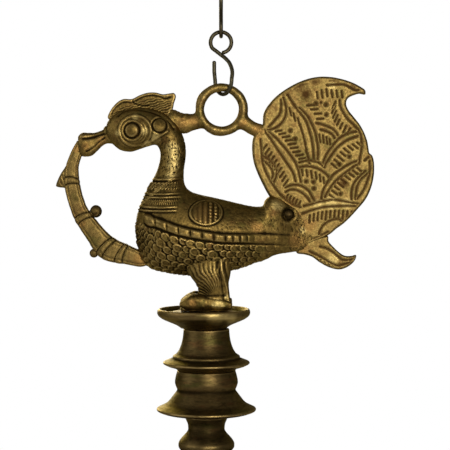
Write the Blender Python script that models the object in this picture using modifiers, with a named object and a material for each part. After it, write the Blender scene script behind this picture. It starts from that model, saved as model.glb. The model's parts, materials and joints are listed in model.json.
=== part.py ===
"""A hanging brass oil lamp: a bird on a turned column over a five-lipped oil bowl, hung by wire links.

The design is drawn in millimetres in the lamp's own frame: x runs from the column's axis towards the
bird's tail, y away from the viewer and z up from the saucer's top face. An empty places that frame under
the hanging point, which is the origin of the whole part.
"""

import math

import bmesh
import bpy
from mathutils import Matrix, Vector

MM = 0.001
GAP = 0.3  # clearance left between brazed or screwed pieces

# Suspension
WIRE_R = 1.17
RING_CENTRE_X, RING_CENTRE_Z = 9.1, 120.6
RING_R, RING_BAR_R = 12.75, 2.5
HANG_X = 8.8  # the line of the links and of the hanging point
HOOK_X = 10.2  # where the wire hook bears on the suspension ring
HOOK_BEND_R, HOOK_TURN_DEG = 8.4, 54.0
HOOK_TIP_Z = 148.8
HOOK_CROSSING_Z = 152.7
EYE_R, HOOK_EYE_R, TOP_HOOK_R = 5.0, 6.2, 8.0
TOP_HOOK_SHANK = 6.0
# The hook's wire above its bend, leaning back to the eye
HOOK_RISE = [(6.7, -5.4, 142.5), (5.2, -3.2, 147.4), (2.6, -1.2, 150.6)]
LINK_EYES_APART = 16.0
WIRE_PITCH = 2 * WIRE_R + GAP  # centre to centre of two wires that bear on each other

# Bird
WALL = 3.0
TAIL_HALF, FEATHER_HALF, CREST_HALF = 2.5, 2.2, 2.4
SLOT_HALF = TAIL_HALF + GAP
RIVET_X, RIVET_Z = 49.0, 58.2
RIVET_R, RIVET_HEAD_R = 2.0, 3.3
LEFT_ARM_END_X, CUTTER_HALF = -21.4, 15.0  # the left arm stops at the nape
RIVET_SEAT_Y, RIVET_HEAD_THICK = 4.9, 1.5
SLOT_START_X, SLOT_START_Z, SLOT_LONG = 40.6, 37.2, 40.0  # the fork in the body that takes the tail
LEG_Y = 10.0

# Column, bowl and foot
ROD_R, BORE_R = 3.0, 3.5
SAUCER_SHIFT_X = -1.6  # the saucer was turned on its own and sits a little off the column's axis
PLINTH_LONG, PLINTH_WIDE, PLINTH_THICK, PLINTH_CORNER_R, PLINTH_X = 31.0, 35.0, 3.0, 6.0, -1.0
BOSS_R, BOSS_BOTTOM_Z, SAUCER_BORE_R = 6.0, -9.6, 8.3
STEM_TOP_Z, BELL_TOP_Z, COLUMN_TOP_Z = -11.1, -36.3, -63.7
BOWL_FLOOR_Z, BOWL_DEPTH, BOWL_WALL = -118.0, 18.0, 2.4
BOWL_R, BOWL_FLOOR_R, LIPS, LIP_REACH, LIP_SPREAD = 58.0, 20.0, 5, 12.0, 0.17
FOOT_BOTTOM_Z = -146.5

# Colours and finishes: red, green, blue, roughness
CAST_BRASS = (0.36, 0.26, 0.11, 0.42)
TAIL_BRASS = (0.46, 0.35, 0.15, 0.38)
TURNED_BRASS = (0.24, 0.17, 0.08, 0.40)
WIRE_BRASS = (0.17, 0.15, 0.09, 0.45)

# Back line and breast line of the bird, paired point by point, and half the width there
BODY_SECTIONS = [
    ((53.8, 61.5), (53.8, 34.2), 4.2),
    ((46.0, 64.5), (46.0, 33.5), 7.5),
    ((38.0, 66.5), (38.0, 31.0), 10.5),
    ((34.4, 63.5), (34.8, 30.2), 11.8),
    ((32.0, 61.2), (32.0, 29.5), 13.0),
    ((23.0, 62.5), (23.0, 26.3), 15.8),
    ((13.0, 64.5), (13.0, 23.5), 18.0),
    ((3.5, 66.6), (1.6, 21.4), 19.4),
    ((-4.0, 68.4), (-10.0, 21.3), 20.0),
    ((-8.6, 70.2), (-22.0, 22.6), 20.0),
    ((-11.3, 72.0), (-32.6, 25.0), 19.0),
    ((-12.6, 73.9), (-38.6, 29.8), 18.0),
    ((-13.4, 76.2), (-41.4, 37.0), 16.8),
    ((-13.7, 78.6), (-43.1, 48.0), 15.4),
    ((-13.7, 81.0), (-42.9, 57.0), 13.6),
    ((-13.6, 83.4), (-40.2, 64.0), 11.6),
]
SPIGOT_END = ((-13.7, 82.0), (-41.8, 60.0), 12.8)
NECK_SECTIONS = [
    BODY_SECTIONS[-1],
    ((-13.1, 86.4), (-36.2, 71.6), 10.0),
    ((-12.5, 90.0), (-32.6, 78.0), 8.8),
    ((-12.2, 94.2), (-29.6, 84.6), 8.0),
    ((-12.8, 99.6), (-27.8, 91.2), 7.8),
    ((-14.6, 105.6), (-28.1, 96.4), 8.0),
    ((-17.9, 111.6), (-30.6, 99.0), 8.8),
    ((-23.6, 117.0), (-35.0, 98.1), 9.5),
    ((-30.8, 120.0), (-39.8, 96.6), 9.8),
    ((-39.2, 121.5), (-45.2, 95.1), 9.8),
    ((-47.6, 120.6), (-51.2, 96.0), 9.0),
    ((-54.2, 117.9), (-55.7, 99.3), 7.2),
    ((-58.4, 113.4), (-58.1, 101.4), 5.2),
    ((-59.6, 110.4), (-59.3, 103.8), 3.8),
]
BEAK_SECTIONS = [
    ((-55.0, 109.4), (-55.0, 99.2), 3.6),
    ((-62.0, 107.7), (-62.0, 98.7), 3.6),
    ((-66.8, 106.2), (-66.4, 96.2), 3.6),
    ((-71.6, 105.9), (-70.6, 93.0), 4.0),
    ((-75.6, 104.8), (-74.2, 92.0), 4.2),
    ((-77.0, 101.9), (-75.6, 94.0), 3.4),
]
CREEPER_SECTIONS = [
    ((-78.3, 99.4), (-76.3, 90.2), 2.6),
    ((-80.8, 95.4), (-76.6, 88.0), 2.9),
    ((-83.0, 90.0), (-76.6, 85.0), 3.0),
    ((-84.3, 85.0), (-76.5, 82.0), 3.0),
    ((-84.9, 79.5), (-76.2, 78.5), 3.1),
    ((-84.6, 73.0), (-75.6, 74.5), 3.2),
    ((-83.3, 66.8), (-74.4, 69.5), 3.3),
    ((-81.2, 60.0), (-72.2, 63.0), 3.4),
    ((-78.8, 54.0), (-69.5, 58.5), 3.5),
    ((-75.2, 48.0), (-66.3, 54.3), 3.6),
    ((-71.2, 42.0), (-62.0, 49.2), 3.7),
    ((-67.5, 36.0), (-57.8, 45.0), 3.8),
    ((-62.5, 30.8), (-53.5, 42.0), 3.9),
    ((-56.0, 28.6), (-49.5, 40.2), 4.0),
    ((-48.0, 27.4), (-45.5, 38.4), 4.0),
    ((-40.0, 26.0), (-40.5, 36.0), 4.0),
    ((-34.0, 27.2), (-37.0, 34.5), 3.4),
]
LEFT_ARM_SECTIONS = [
    ((-21.0, 120.4), (-14.0, 104.5), 3.2),
    ((-12.8, 117.3), (-9.8, 107.6), 3.0),
    ((-8.6, 119.5), (-4.0, 109.2), 2.6),
    ((-4.0, 124.0), (3.0, 108.8), 2.0),
]
RIGHT_ARM_SECTIONS = [
    ((23.0, 122.0), (12.0, 107.5), 1.9),
    ((24.8, 116.5), (21.0, 106.2), 2.3),
    ((29.2, 111.6), (26.4, 104.9), 2.3),
    ((36.0, 111.6), (31.0, 101.5), 2.2),
]
LEG_SECTIONS = [
    ((-11.0, 27.0), (17.0, 30.0), 7.6),
    ((-8.6, 19.8), (14.6, 21.0), 6.8),
    ((-6.8, 16.2), (14.0, 16.0), 5.8),
    ((-5.0, 12.8), (13.7, 12.0), 5.0),
    ((-4.4, 10.0), (13.6, 7.5), 4.8),
    ((-7.0, 6.0), (13.6, 4.5), 5.4),
]
FOOT_SECTIONS = [
    ((13.6, 7.0), (13.6, 3.0), 4.6),
    ((6.0, 8.4), (6.0, 3.0), 5.6),
    ((-4.0, 8.6), (-4.0, 3.0), 6.4),
    ((-11.0, 7.0), (-11.0, 3.0), 6.8),
    ((-15.4, 4.6), (-15.0, 3.0), 6.6),
]
CREST_OUTLINE = [
    (-58.6, 114.8), (-57.4, 119.4), (-53.6, 124.0), (-48.8, 126.6), (-44.0, 126.6), (-39.8, 128.7),
    (-35.0, 130.2), (-30.2, 130.2), (-26.0, 129.2), (-21.8, 129.7), (-19.4, 129.9), (-18.2, 128.0),
    (-19.4, 123.6), (-21.2, 119.9), (-26.0, 114.0), (-40.0, 117.0), (-52.0, 114.0),
]
TAIL_OUTLINE = [
    (33.2, 111.0), (34.6, 120.0), (38.2, 126.2), (44.2, 131.4), (51.4, 135.3), (59.2, 138.2), (67.0, 139.6),
    (74.2, 139.8), (81.4, 138.4), (87.4, 135.9), (92.2, 133.2), (95.0, 130.8), (95.2, 129.3), (91.0, 129.4),
    (87.4, 128.4), (84.2, 126.6), (83.2, 123.8), (84.2, 120.6), (86.6, 117.2), (90.2, 112.2), (93.6, 106.4),
    (95.8, 100.8), (97.0, 95.2), (98.8, 94.2), (100.2, 90.0), (100.7, 84.0), (100.2, 78.0), (98.6, 72.0),
    (95.6, 66.6), (91.4, 61.6), (86.4, 56.6), (80.2, 51.8), (73.0, 46.5), (54.4, 38.0), (44.0, 38.0),
    (41.6, 64.6), (38.4, 68.0), (35.8, 73.8), (32.2, 81.0), (29.4, 88.8), (28.2, 96.0), (28.0, 102.6),
]
FEATHER_OUTLINE = [
    (54.3, 37.3), (72.2, 45.5), (72.6, 42.0), (76.2, 38.8), (81.2, 33.8), (83.8, 32.2), (86.2, 32.0),
    (89.8, 33.0), (88.8, 29.8), (86.4, 27.0), (83.2, 25.0), (79.0, 24.6), (74.4, 26.0), (69.6, 29.2),
    (65.8, 31.6), (62.0, 33.2), (54.3, 34.4),
]
LEAF_OUTLINE = [
    (-83.0, 86.8), (-85.6, 84.0), (-88.2, 80.2), (-90.2, 75.2), (-89.6, 73.8), (-86.0, 73.8), (-83.0, 75.0),
]

# Turned outlines: radius and height down the outer side
SAUCER_PROFILE = [
    (21.0, 0.0), (24.2, -0.5), (25.6, 0.5), (27.0, 0.3), (27.8, -1.2), (27.4, -3.0), (24.8, -5.6),
    (19.0, -8.0), (13.6, -10.8),
]
STEM_PROFILE = [
    (13.3, STEM_TOP_Z), (13.5, -14.5), (14.6, -20.0), (16.2, -24.0), (19.8, -28.4), (22.4, -29.4),
    (26.2, -31.3), (26.2, -32.1), (22.0, -34.4), (17.8, -36.0),
]
BELL_PROFILE = [
    (17.6, BELL_TOP_Z), (18.6, -40.6), (19.1, -43.6), (17.5, -48.0), (18.8, -50.4), (21.6, -53.6),
    (25.6, -57.3), (30.0, -59.4), (30.0, -60.5), (26.0, -62.2), (15.0, -63.4),
]
COLUMN_PROFILE = [
    (13.6, COLUMN_TOP_Z), (11.2, -68.5), (11.0, -73.0), (15.6, -78.2), (17.0, -81.5), (15.4, -84.8),
    (11.0, -90.0), (10.4, -99.0), (12.0, -108.0), (16.6, -114.6), (17.6, -117.7),
]
FOOT_PROFILE = [
    (15.0, -121.3), (11.4, -126.0), (11.0, -130.0), (14.4, -134.6), (24.0, -140.4), (33.6, -143.6),
    (34.6, -145.4), (34.0, FOOT_BOTTOM_Z), (27.0, FOOT_BOTTOM_Z), (22.0, -142.8), (12.0, -140.0),
    (12.0, -137.0),
]
NUT_TOP_Z, NUT_THICK, NUT_R = -137.3, 5.0, 7.2
ROD_TOP_Z, ROD_BOTTOM_Z = -0.8, -143.6


def clear_scene():
    for obj in list(bpy.data.objects):
        bpy.data.objects.remove(obj)


def collection(name):
    made = bpy.data.collections.new(name)
    bpy.context.scene.collection.children.link(made)
    return made


def empty(name, location):
    """A frame that pieces are parented to, in millimetres."""
    made = bpy.data.objects.new(name, None)
    made.location = Vector(location) * MM
    PARTS.objects.link(made)
    return made


def material(name, finish):
    made = bpy.data.materials.new(name)
    made.use_nodes = True
    shader = made.node_tree.nodes["Principled BSDF"]
    shader.inputs["Base Color"].default_value = (*finish[:3], 1.0)
    shader.inputs["Roughness"].default_value = finish[3]
    shader.inputs["Metallic"].default_value = 1.0
    return made


def place(obj, finish, parent, into=None):
    """Gives a new object its finish, its frame and its collection."""
    (into or PARTS).objects.link(obj)
    if finish:
        obj.data.materials.append(finish)
    obj.parent = parent
    return obj


def mesh_object(name, bm, finish, parent, into=None):
    """An object from a bmesh drawn in millimetres."""
    bmesh.ops.recalc_face_normals(bm, faces=bm.faces)
    bmesh.ops.scale(bm, vec=(MM, MM, MM), verts=bm.verts)
    mesh = bpy.data.meshes.new(name)
    bm.to_mesh(mesh)
    bm.free()
    mesh.shade_smooth()
    mesh.set_sharp_from_angle(angle=math.radians(40))
    return place(bpy.data.objects.new(name, mesh), finish, parent, into)


def cutter(obj):
    obj.hide_render = True
    obj.display_type = "WIRE"
    return obj


def boolean(target, other, operation):
    """Joins other to target or cuts it away, and keeps other as a hidden helper."""
    step = target.modifiers.new(f"{operation.lower()} {other.name}", "BOOLEAN")
    step.operation = operation
    step.solver = "EXACT"
    step.object = cutter(other)


def evaluated_mesh(obj):
    bpy.context.view_layer.update()
    return bpy.data.meshes.new_from_object(obj.evaluated_get(bpy.context.evaluated_depsgraph_get()))


def cut_clear(target, neighbour, clearance=1.2 * GAP):
    """Cuts target back from neighbour with a copy of neighbour that is grown by the clearance."""
    bm = bmesh.new()
    bm.from_mesh(evaluated_mesh(neighbour))
    bmesh.ops.remove_doubles(bm, verts=bm.verts, dist=0.01 * MM)
    bm.normal_update()
    for vert in bm.verts:
        vert.co += vert.normal * clearance * MM
    mesh = bpy.data.meshes.new(f"{neighbour.name}_grown")
    bm.to_mesh(mesh)
    bm.free()
    grown = bpy.data.objects.new(f"{target.name}_less_{neighbour.name}", mesh)
    place(grown, None, neighbour.parent, CUTTERS)
    grown.matrix_local = neighbour.matrix_local
    boolean(target, grown, "DIFFERENCE")


def oval_ring(section, sides, inset=0.0, side_y=0.0, power=2.0, shift=(0.0, 0.0)):
    """A ring of points round a section, in the plane of its two outline points and the Y direction."""
    (back_x, back_z), (front_x, front_z), half_width = section
    back, front = Vector((back_x, 0, back_z)), Vector((front_x, 0, front_z))
    centre = (back + front) / 2 + Vector((shift[0], side_y, shift[1]))
    half = (back - front) / 2
    half -= half.normalized() * inset
    ring = []
    for k in range(sides):
        angle = math.tau * k / sides
        up, out = math.cos(angle), math.sin(angle)
        up = math.copysign(abs(up) ** (2 / power), up)
        out = math.copysign(abs(out) ** (2 / power), out)
        ring.append(centre + half * up + Vector((0, (half_width - inset) * out, 0)))
    return ring


def loft(name, rings, finish, parent, into=None, cyclic=False):
    """A skin over rings with the same number of points, capped at both ends or joined into a loop."""
    bm = bmesh.new()
    rows = [[bm.verts.new(point) for point in ring] for ring in rings]
    pairs = list(zip(rows, rows[1:]))
    if cyclic:
        pairs.append((rows[-1], rows[0]))
    else:
        bm.faces.new(rows[0])
        bm.faces.new(rows[-1])
    sides = len(rows[0])
    for first, second in pairs:
        for k in range(sides):
            after = (k + 1) % sides
            bm.faces.new((first[k], first[after], second[after], second[k]))
    return mesh_object(name, bm, finish, parent, into)


def plate(name, outline, half_thickness, finish, parent, into=None):
    """A flat piece in the XZ plane, cut to an outline."""
    curve = bpy.data.curves.new(name, "CURVE")
    curve.dimensions = "2D"
    curve.fill_mode = "BOTH"
    curve.extrude = half_thickness * MM
    spline = curve.splines.new("POLY")
    spline.points.add(len(outline) - 1)
    spline.use_cyclic_u = True
    for point, (x, z) in zip(spline.points, outline):
        point.co = (x * MM, z * MM, 0, 1)
    drawn = place(bpy.data.objects.new(f"{name}_curve", curve), None, None)
    drawn.matrix_world = Matrix.Rotation(math.radians(90), 4, "X")
    bm = bmesh.new()
    bm.from_mesh(evaluated_mesh(drawn))
    bmesh.ops.remove_doubles(bm, verts=bm.verts, dist=0.01 * MM)
    bmesh.ops.transform(bm, matrix=drawn.matrix_world, verts=bm.verts)
    bmesh.ops.scale(bm, vec=(1 / MM,) * 3, verts=bm.verts)
    bpy.data.objects.remove(drawn)
    return mesh_object(name, bm, finish, parent, into)


def turned(name, profile, finish, parent, bore=None, steps=28, into=None):
    """A turned piece about its Z axis: an outline down the outer side, closed on a bore or on the axis."""
    outline = list(profile)
    if bore is not None:
        outline = [(bore, profile[0][1]), *profile, (bore, profile[-1][1])]
    mesh = bpy.data.meshes.new(name)
    points = [(r * MM, 0, z * MM) for r, z in outline]
    edges = [(k, k + 1) for k in range(len(points) - 1)]
    if bore is not None:
        edges.append((len(points) - 1, 0))
    mesh.from_pydata(points, edges, [])
    obj = place(bpy.data.objects.new(name, mesh), finish, parent, into)
    spin = obj.modifiers.new("turn", "SCREW")
    spin.angle = math.tau
    spin.steps = spin.render_steps = steps
    spin.use_merge_vertices = True
    spin.merge_threshold = 0.00001
    spin.use_smooth_shade = True
    return obj


def wire(name, points, finish, parent, radius=WIRE_R):
    """A bent wire with flat ends, through points in millimetres."""
    curve = bpy.data.curves.new(name, "CURVE")
    curve.dimensions = "3D"
    curve.bevel_depth = radius * MM
    curve.bevel_resolution = 2
    curve.use_fill_caps = True
    spline = curve.splines.new("POLY")
    spline.points.add(len(points) - 1)
    for point, place_mm in zip(spline.points, points):
        point.co = (*(Vector(place_mm) * MM), 1)
    return place(bpy.data.objects.new(name, curve), finish, parent)


def smooth_path(points, per_span=4):
    """Points along a Catmull-Rom curve through the given ones."""
    points = [Vector(p) for p in points]
    padded = [2 * points[0] - points[1], *points, 2 * points[-1] - points[-2]]
    path = []
    for a, b, c, d in zip(padded, padded[1:], padded[2:], padded[3:]):
        for k in range(per_span):
            t = k / per_span
            square, cube = 2 * a - 5 * b + 4 * c - d, 3 * b - a - 3 * c + d
            path.append(0.5 * (2 * b + (c - a) * t + square * t**2 + cube * t**3))
    return [*path, points[-1]]


def arc(centre, radius, start_deg, end_deg, steps):
    """Points (across, up) on an arc, from one angle to the other."""
    turn = [math.radians(start_deg + (end_deg - start_deg) * k / steps) for k in range(steps + 1)]
    return [(centre[0] + radius * math.cos(a), centre[1] + radius * math.sin(a)) for a in turn]


def in_plane(points, turn_deg, centre_z=0.0):
    """Points (across, up) stood in the vertical plane that is turned about the chain's line."""
    across = Vector((math.cos(math.radians(turn_deg)), math.sin(math.radians(turn_deg)), 0))
    return [across * u + Vector((0, 0, centre_z + w)) for u, w in points]


def s_link_path(lower_r, upper_r, apart, upper_end_deg=240.0):
    """An S-shaped link: a nearly closed eye, a slanting shank and a second eye or hook above it."""
    lower = arc((0, 0), lower_r, 55, -235, 14)
    upper = arc((0, apart), upper_r, -55, upper_end_deg, 14)
    return [*lower, *upper]


def suspension(chain, wire_finish):
    """The wire hook, the two S-links and the top hook; returns the height where the top hook hangs."""
    bend_z = RING_CENTRE_Z + RING_R - RING_BAR_R - 1.5 * GAP - WIRE_R
    off = HOOK_X - HANG_X
    front = Vector((math.cos(math.radians(-HOOK_TURN_DEG)), math.sin(math.radians(-HOOK_TURN_DEG)), 0))
    straight_z = bend_z + HOOK_BEND_R
    tip_z = (HOOK_TIP_Z, (HOOK_TIP_Z + straight_z) / 2)
    tip = [Vector((off, 0, z)) - front * (HOOK_BEND_R + 0.9) for z in tip_z]
    bend = [Vector((off, 0, w)) + front * u for u, w in arc((0, straight_z), HOOK_BEND_R, 180, 360, 12)]
    eye_z = HOOK_CROSSING_Z + HOOK_EYE_R + 1.2
    rise = smooth_path([bend[-1], *HOOK_RISE, (0, 0, HOOK_CROSSING_Z)])
    eye = in_plane(arc((0, 0), HOOK_EYE_R, 214, -78, 16), 0, eye_z)
    hook_path = [*tip, *bend[:-1], *rise[:-1], *eye]
    wire("wire_hook", hook_path, wire_finish, chain)

    eye_top = eye_z + HOOK_EYE_R
    lower_z = eye_top - WIRE_PITCH + EYE_R
    upper_z = lower_z + LINK_EYES_APART + EYE_R - WIRE_PITCH + EYE_R
    top_z = upper_z + LINK_EYES_APART + EYE_R - WIRE_PITCH + EYE_R
    link = s_link_path(EYE_R, EYE_R, LINK_EYES_APART)
    wire("lower_link", in_plane(link, 90, lower_z), wire_finish, chain)
    wire("upper_link", in_plane(link, 0, upper_z), wire_finish, chain)
    hook_apart = EYE_R + TOP_HOOK_R + TOP_HOOK_SHANK
    top = s_link_path(EYE_R, TOP_HOOK_R, hook_apart, upper_end_deg=175.0)
    wire("top_hook", in_plane(top, 90, top_z), wire_finish, chain)
    return top_z + hook_apart + TOP_HOOK_R - WIRE_R


def bird(lamp, cast_finish, tail_finish):
    """The bird's castings: a hollow body, a neck and head, and the plates and arms brazed to them."""
    sides = 20
    seam = BODY_SECTIONS[-1]
    down = (0.35 * GAP, -GAP)  # the body's collar stops this far below the neck's shoulder
    outer = [oval_ring(s, sides) for s in BODY_SECTIONS[:-1]] + [oval_ring(seam, sides, shift=down)]
    inner = [oval_ring(seam, sides, WALL, shift=down)]
    inner += [oval_ring(s, sides, WALL) for s in reversed(BODY_SECTIONS[5:-1])]
    body = loft("bird_body", outer + inner, cast_finish, lamp)
    solid_body = cutter(loft("solid_body", outer, None, lamp, CUTTERS))

    spigot = [oval_ring(SPIGOT_END, sides, WALL + 3 * GAP), oval_ring(seam, sides, WALL + 2 * GAP)]
    head = loft("neck_and_head", spigot + [oval_ring(s, sides) for s in NECK_SECTIONS], cast_finish, lamp)

    beak = loft("beak", [oval_ring(s, 12) for s in BEAK_SECTIONS], cast_finish, lamp)
    cut_clear(beak, head)

    crest = plate("crest", CREST_OUTLINE, CREST_HALF, cast_finish, lamp)
    cut_clear(crest, head)

    bm = bmesh.new()
    bmesh.ops.create_cube(bm, size=1)
    bmesh.ops.scale(bm, vec=(SLOT_LONG, 2 * SLOT_HALF, SLOT_LONG), verts=bm.verts)
    slot_centre = (SLOT_START_X + SLOT_LONG / 2, 0, SLOT_START_Z + SLOT_LONG / 2)
    bmesh.ops.translate(bm, vec=slot_centre, verts=bm.verts)
    boolean(body, mesh_object("tail_slot", bm, None, lamp, CUTTERS), "DIFFERENCE")
    tail = plate("tail_fan", TAIL_OUTLINE, TAIL_HALF, tail_finish, lamp)
    rivet(body, tail, cast_finish, lamp)
    plate("lower_feather", FEATHER_OUTLINE, FEATHER_HALF, tail_finish, lamp)

    ring_and_arms(head, crest, tail, cast_finish, lamp)
    creeper(solid_body, cast_finish, lamp)
    legs(solid_body, cast_finish, lamp)


def rivet(body, tail, finish, lamp):
    """The rivet that pins the tail in the body's forked end, its two seats and its hole."""
    seat_end = 12.0
    half = [(RIVET_R, 0), (RIVET_R, -RIVET_SEAT_Y), (RIVET_HEAD_R, -RIVET_SEAT_Y)]
    half += [(2.4, -RIVET_SEAT_Y - 1.0), (0, -RIVET_SEAT_Y - RIVET_HEAD_THICK)]
    profile = [(r, -z) for r, z in reversed(half[1:])] + half[1:]
    pin = turned("tail_rivet", profile, finish, lamp, steps=16)
    hole_profile = [(0, seat_end), (RIVET_R + GAP, seat_end), (RIVET_R + GAP, -seat_end), (0, -seat_end)]
    hole = turned("rivet_hole", hole_profile, None, lamp, steps=16, into=CUTTERS)
    inner = RIVET_SEAT_Y - GAP
    seats = []
    for name, low, high in (("front_seat", -seat_end, -inner), ("back_seat", inner, seat_end)):
        outline = [(0, high), (RIVET_HEAD_R + GAP, high), (RIVET_HEAD_R + GAP, low), (0, low)]
        seats.append(turned(f"rivet_{name}", outline, None, lamp, steps=16, into=CUTTERS))
    for obj in (pin, hole, *seats):
        obj.location = Vector((RIVET_X, 0, RIVET_Z)) * MM
        obj.rotation_euler = (math.radians(90), 0, 0)
    for obj in (hole, *seats):
        boolean(body, obj, "DIFFERENCE")
    boolean(tail, hole, "DIFFERENCE")


def ring_and_arms(head, crest, tail, finish, lamp):
    """The suspension ring, with the arms that braze it to the nape and to the tail."""
    bpy.ops.mesh.primitive_torus_add(
        major_radius=RING_R * MM, minor_radius=RING_BAR_R * MM, major_segments=32, minor_segments=10,
        location=(0, 0, 0), rotation=(0, 0, 0),
    )
    ring = bpy.context.object
    ring.name = ring.data.name = "suspension_ring"
    for holder in list(ring.users_collection):
        holder.objects.unlink(ring)
    place(ring, finish, lamp)
    ring.data.shade_smooth()
    ring.location = Vector((RING_CENTRE_X, 0, RING_CENTRE_Z)) * MM
    ring.rotation_euler = (math.radians(90), 0, 0)
    hole_outline = [(0, 9), (RING_R - 1.0, 9), (RING_R - 1.0, -9), (0, -9)]
    clear_hole = turned("ring_hole", hole_outline, None, lamp, steps=32, into=CUTTERS)
    clear_hole.location, clear_hole.rotation_euler = ring.location, ring.rotation_euler
    for name, sections in (("left_arm", LEFT_ARM_SECTIONS), ("right_arm", RIGHT_ARM_SECTIONS)):
        arm = loft(name, [oval_ring(s, 12, power=2.4) for s in sections], None, lamp, CUTTERS)
        boolean(arm, clear_hole, "DIFFERENCE")
        boolean(ring, arm, "UNION")
    cut_clear(ring, head)
    bm = bmesh.new()
    bmesh.ops.create_cube(bm, size=1)
    bmesh.ops.scale(bm, vec=(2 * CUTTER_HALF, CUTTER_HALF, 3 * CUTTER_HALF), verts=bm.verts)
    bmesh.ops.translate(bm, vec=(LEFT_ARM_END_X - CUTTER_HALF, 0, RING_CENTRE_Z), verts=bm.verts)
    boolean(ring, mesh_object("crest_side", bm, None, lamp, CUTTERS), "DIFFERENCE")
    cut_clear(ring, crest, 0.45)
    cut_clear(ring, tail, 0.45)


def creeper(body, finish, lamp):
    """The stem that the bird holds in its beak, with its leaf, its curl and its bud."""
    stem = loft("creeper_stem", [oval_ring(s, 14, power=3.0) for s in CREEPER_SECTIONS], finish, lamp)
    boolean(stem, plate("creeper_leaf", LEAF_OUTLINE, 1.3, None, lamp, CUTTERS), "UNION")
    for name, x, z, radius in (("creeper_curl", -66.6, 59.2, 4.0), ("creeper_bud", -67.6, 34.2, 2.9)):
        bm = bmesh.new()
        bmesh.ops.create_uvsphere(bm, u_segments=12, v_segments=8, radius=radius)
        bmesh.ops.translate(bm, vec=(x, 0, z), verts=bm.verts)
        boolean(stem, mesh_object(name, bm, None, lamp, CUTTERS), "UNION")
    cut_clear(stem, body)


def legs(body, finish, lamp):
    """Two legs with their feet, and the plinth that they stand on."""
    for name, side in (("near_leg", -1), ("far_leg", 1)):
        leg = loft(name, [oval_ring(s, 14, side_y=side * LEG_Y) for s in LEG_SECTIONS], finish, lamp)
        foot_rings = [oval_ring(s, 12, side_y=side * LEG_Y, power=3.0) for s in FOOT_SECTIONS]
        boolean(leg, loft(f"{name}_foot", foot_rings, None, lamp, CUTTERS), "UNION")
        cut_clear(leg, body)
    top, bottom = PLINTH_THICK - GAP, GAP
    bm = bmesh.new()
    bmesh.ops.create_cube(bm, size=1)
    bmesh.ops.scale(bm, vec=(PLINTH_LONG, PLINTH_WIDE, top - bottom), verts=bm.verts)
    bmesh.ops.translate(bm, vec=(PLINTH_X, 0, (top + bottom) / 2), verts=bm.verts)
    upright = [e for e in bm.edges if abs(e.verts[0].co.z - e.verts[1].co.z) > 1]
    bmesh.ops.bevel(bm, geom=upright, offset=PLINTH_CORNER_R, segments=3, affect="EDGES", profile=0.5)
    plinth = mesh_object("plinth", bm, finish, lamp)
    boss_top = PLINTH_THICK / 2
    boss_profile = [(0, boss_top), (BOSS_R, boss_top), (BOSS_R, BOSS_BOTTOM_Z), (0, BOSS_BOTTOM_Z)]
    boolean(plinth, turned("plinth_boss", boss_profile, None, lamp, steps=20, into=CUTTERS), "UNION")
    hole_profile = [(0, ROD_TOP_Z + GAP), (BORE_R, ROD_TOP_Z + GAP), (BORE_R, -20), (0, -20)]
    boolean(plinth, turned("plinth_hole", hole_profile, None, lamp, steps=16, into=CUTTERS), "DIFFERENCE")


def lip_reach(angle):
    """How much further out the rim runs at this angle, because of the wick lips."""
    pitch = math.tau / LIPS
    off = (angle + pitch / 2) % pitch - pitch / 2
    return LIP_REACH * math.exp(-((off / LIP_SPREAD) ** 2))


def bowl_ring(share, depth_in, sides):
    """A ring of the bowl: share runs from its floor to its rim, depth_in is how far below the inner face."""
    ring = []
    for k in range(sides):
        angle = math.tau * k / sides + math.pi / 2
        reach = BOWL_R - BOWL_FLOOR_R + lip_reach(angle)
        radius = BOWL_FLOOR_R + share * reach + 0.45 * share * depth_in
        height = BOWL_FLOOR_Z + BOWL_DEPTH * share**1.7 - depth_in * (1 - 0.45 * share)
        ring.append(Vector((radius * math.cos(angle), radius * math.sin(angle), height)))
    return ring


def column_and_bowl(lamp, finish):
    """The turned saucer, stem, bell, column and foot, the oil bowl, and the rod and nut that clamp them."""
    saucer = turned("saucer", SAUCER_PROFILE, finish, lamp, bore=SAUCER_BORE_R)
    saucer.location.x = SAUCER_SHIFT_X * MM
    turned("upper_stem", STEM_PROFILE, finish, lamp, bore=BORE_R)
    turned("bell", BELL_PROFILE, finish, lamp, bore=BORE_R)
    turned("lower_column", COLUMN_PROFILE, finish, lamp, bore=BORE_R)

    sides = 60
    turns = [math.tau * k / sides + math.pi / 2 for k in range(sides)]
    bore = [Vector((BORE_R * math.cos(turn), BORE_R * math.sin(turn), 0)) for turn in turns]
    shares = (0.0, 0.3, 0.6, 0.82, 1.0)
    inside = [bowl_ring(s, 0, sides) for s in shares]
    outside = [bowl_ring(s, BOWL_WALL, sides) for s in reversed(shares)]
    floor = [[p + Vector((0, 0, BOWL_FLOOR_Z - depth)) for p in bore] for depth in (BOWL_WALL, 0)]
    loft("oil_bowl", [floor[1], *inside, *outside, floor[0]], finish, lamp, cyclic=True)

    turned("foot", FOOT_PROFILE, finish, lamp, bore=BORE_R)
    rod = [(0, ROD_TOP_Z), (ROD_R, ROD_TOP_Z), (ROD_R, ROD_BOTTOM_Z), (0, ROD_BOTTOM_Z)]
    turned("tie_rod", rod, finish, lamp, steps=16)
    nut = [(NUT_R, NUT_TOP_Z), (NUT_R, NUT_TOP_Z - NUT_THICK)]
    turned("rod_nut", nut, finish, lamp, bore=BORE_R, steps=6 * 4)


clear_scene()
PARTS = collection("hanging_bird_lamp")
CUTTERS = collection("cutters")
cast = material("cast_brass", CAST_BRASS)
engraved = material("tail_brass", TAIL_BRASS)
lathe = material("turned_brass", TURNED_BRASS)
dull_wire = material("wire_brass", WIRE_BRASS)

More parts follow.
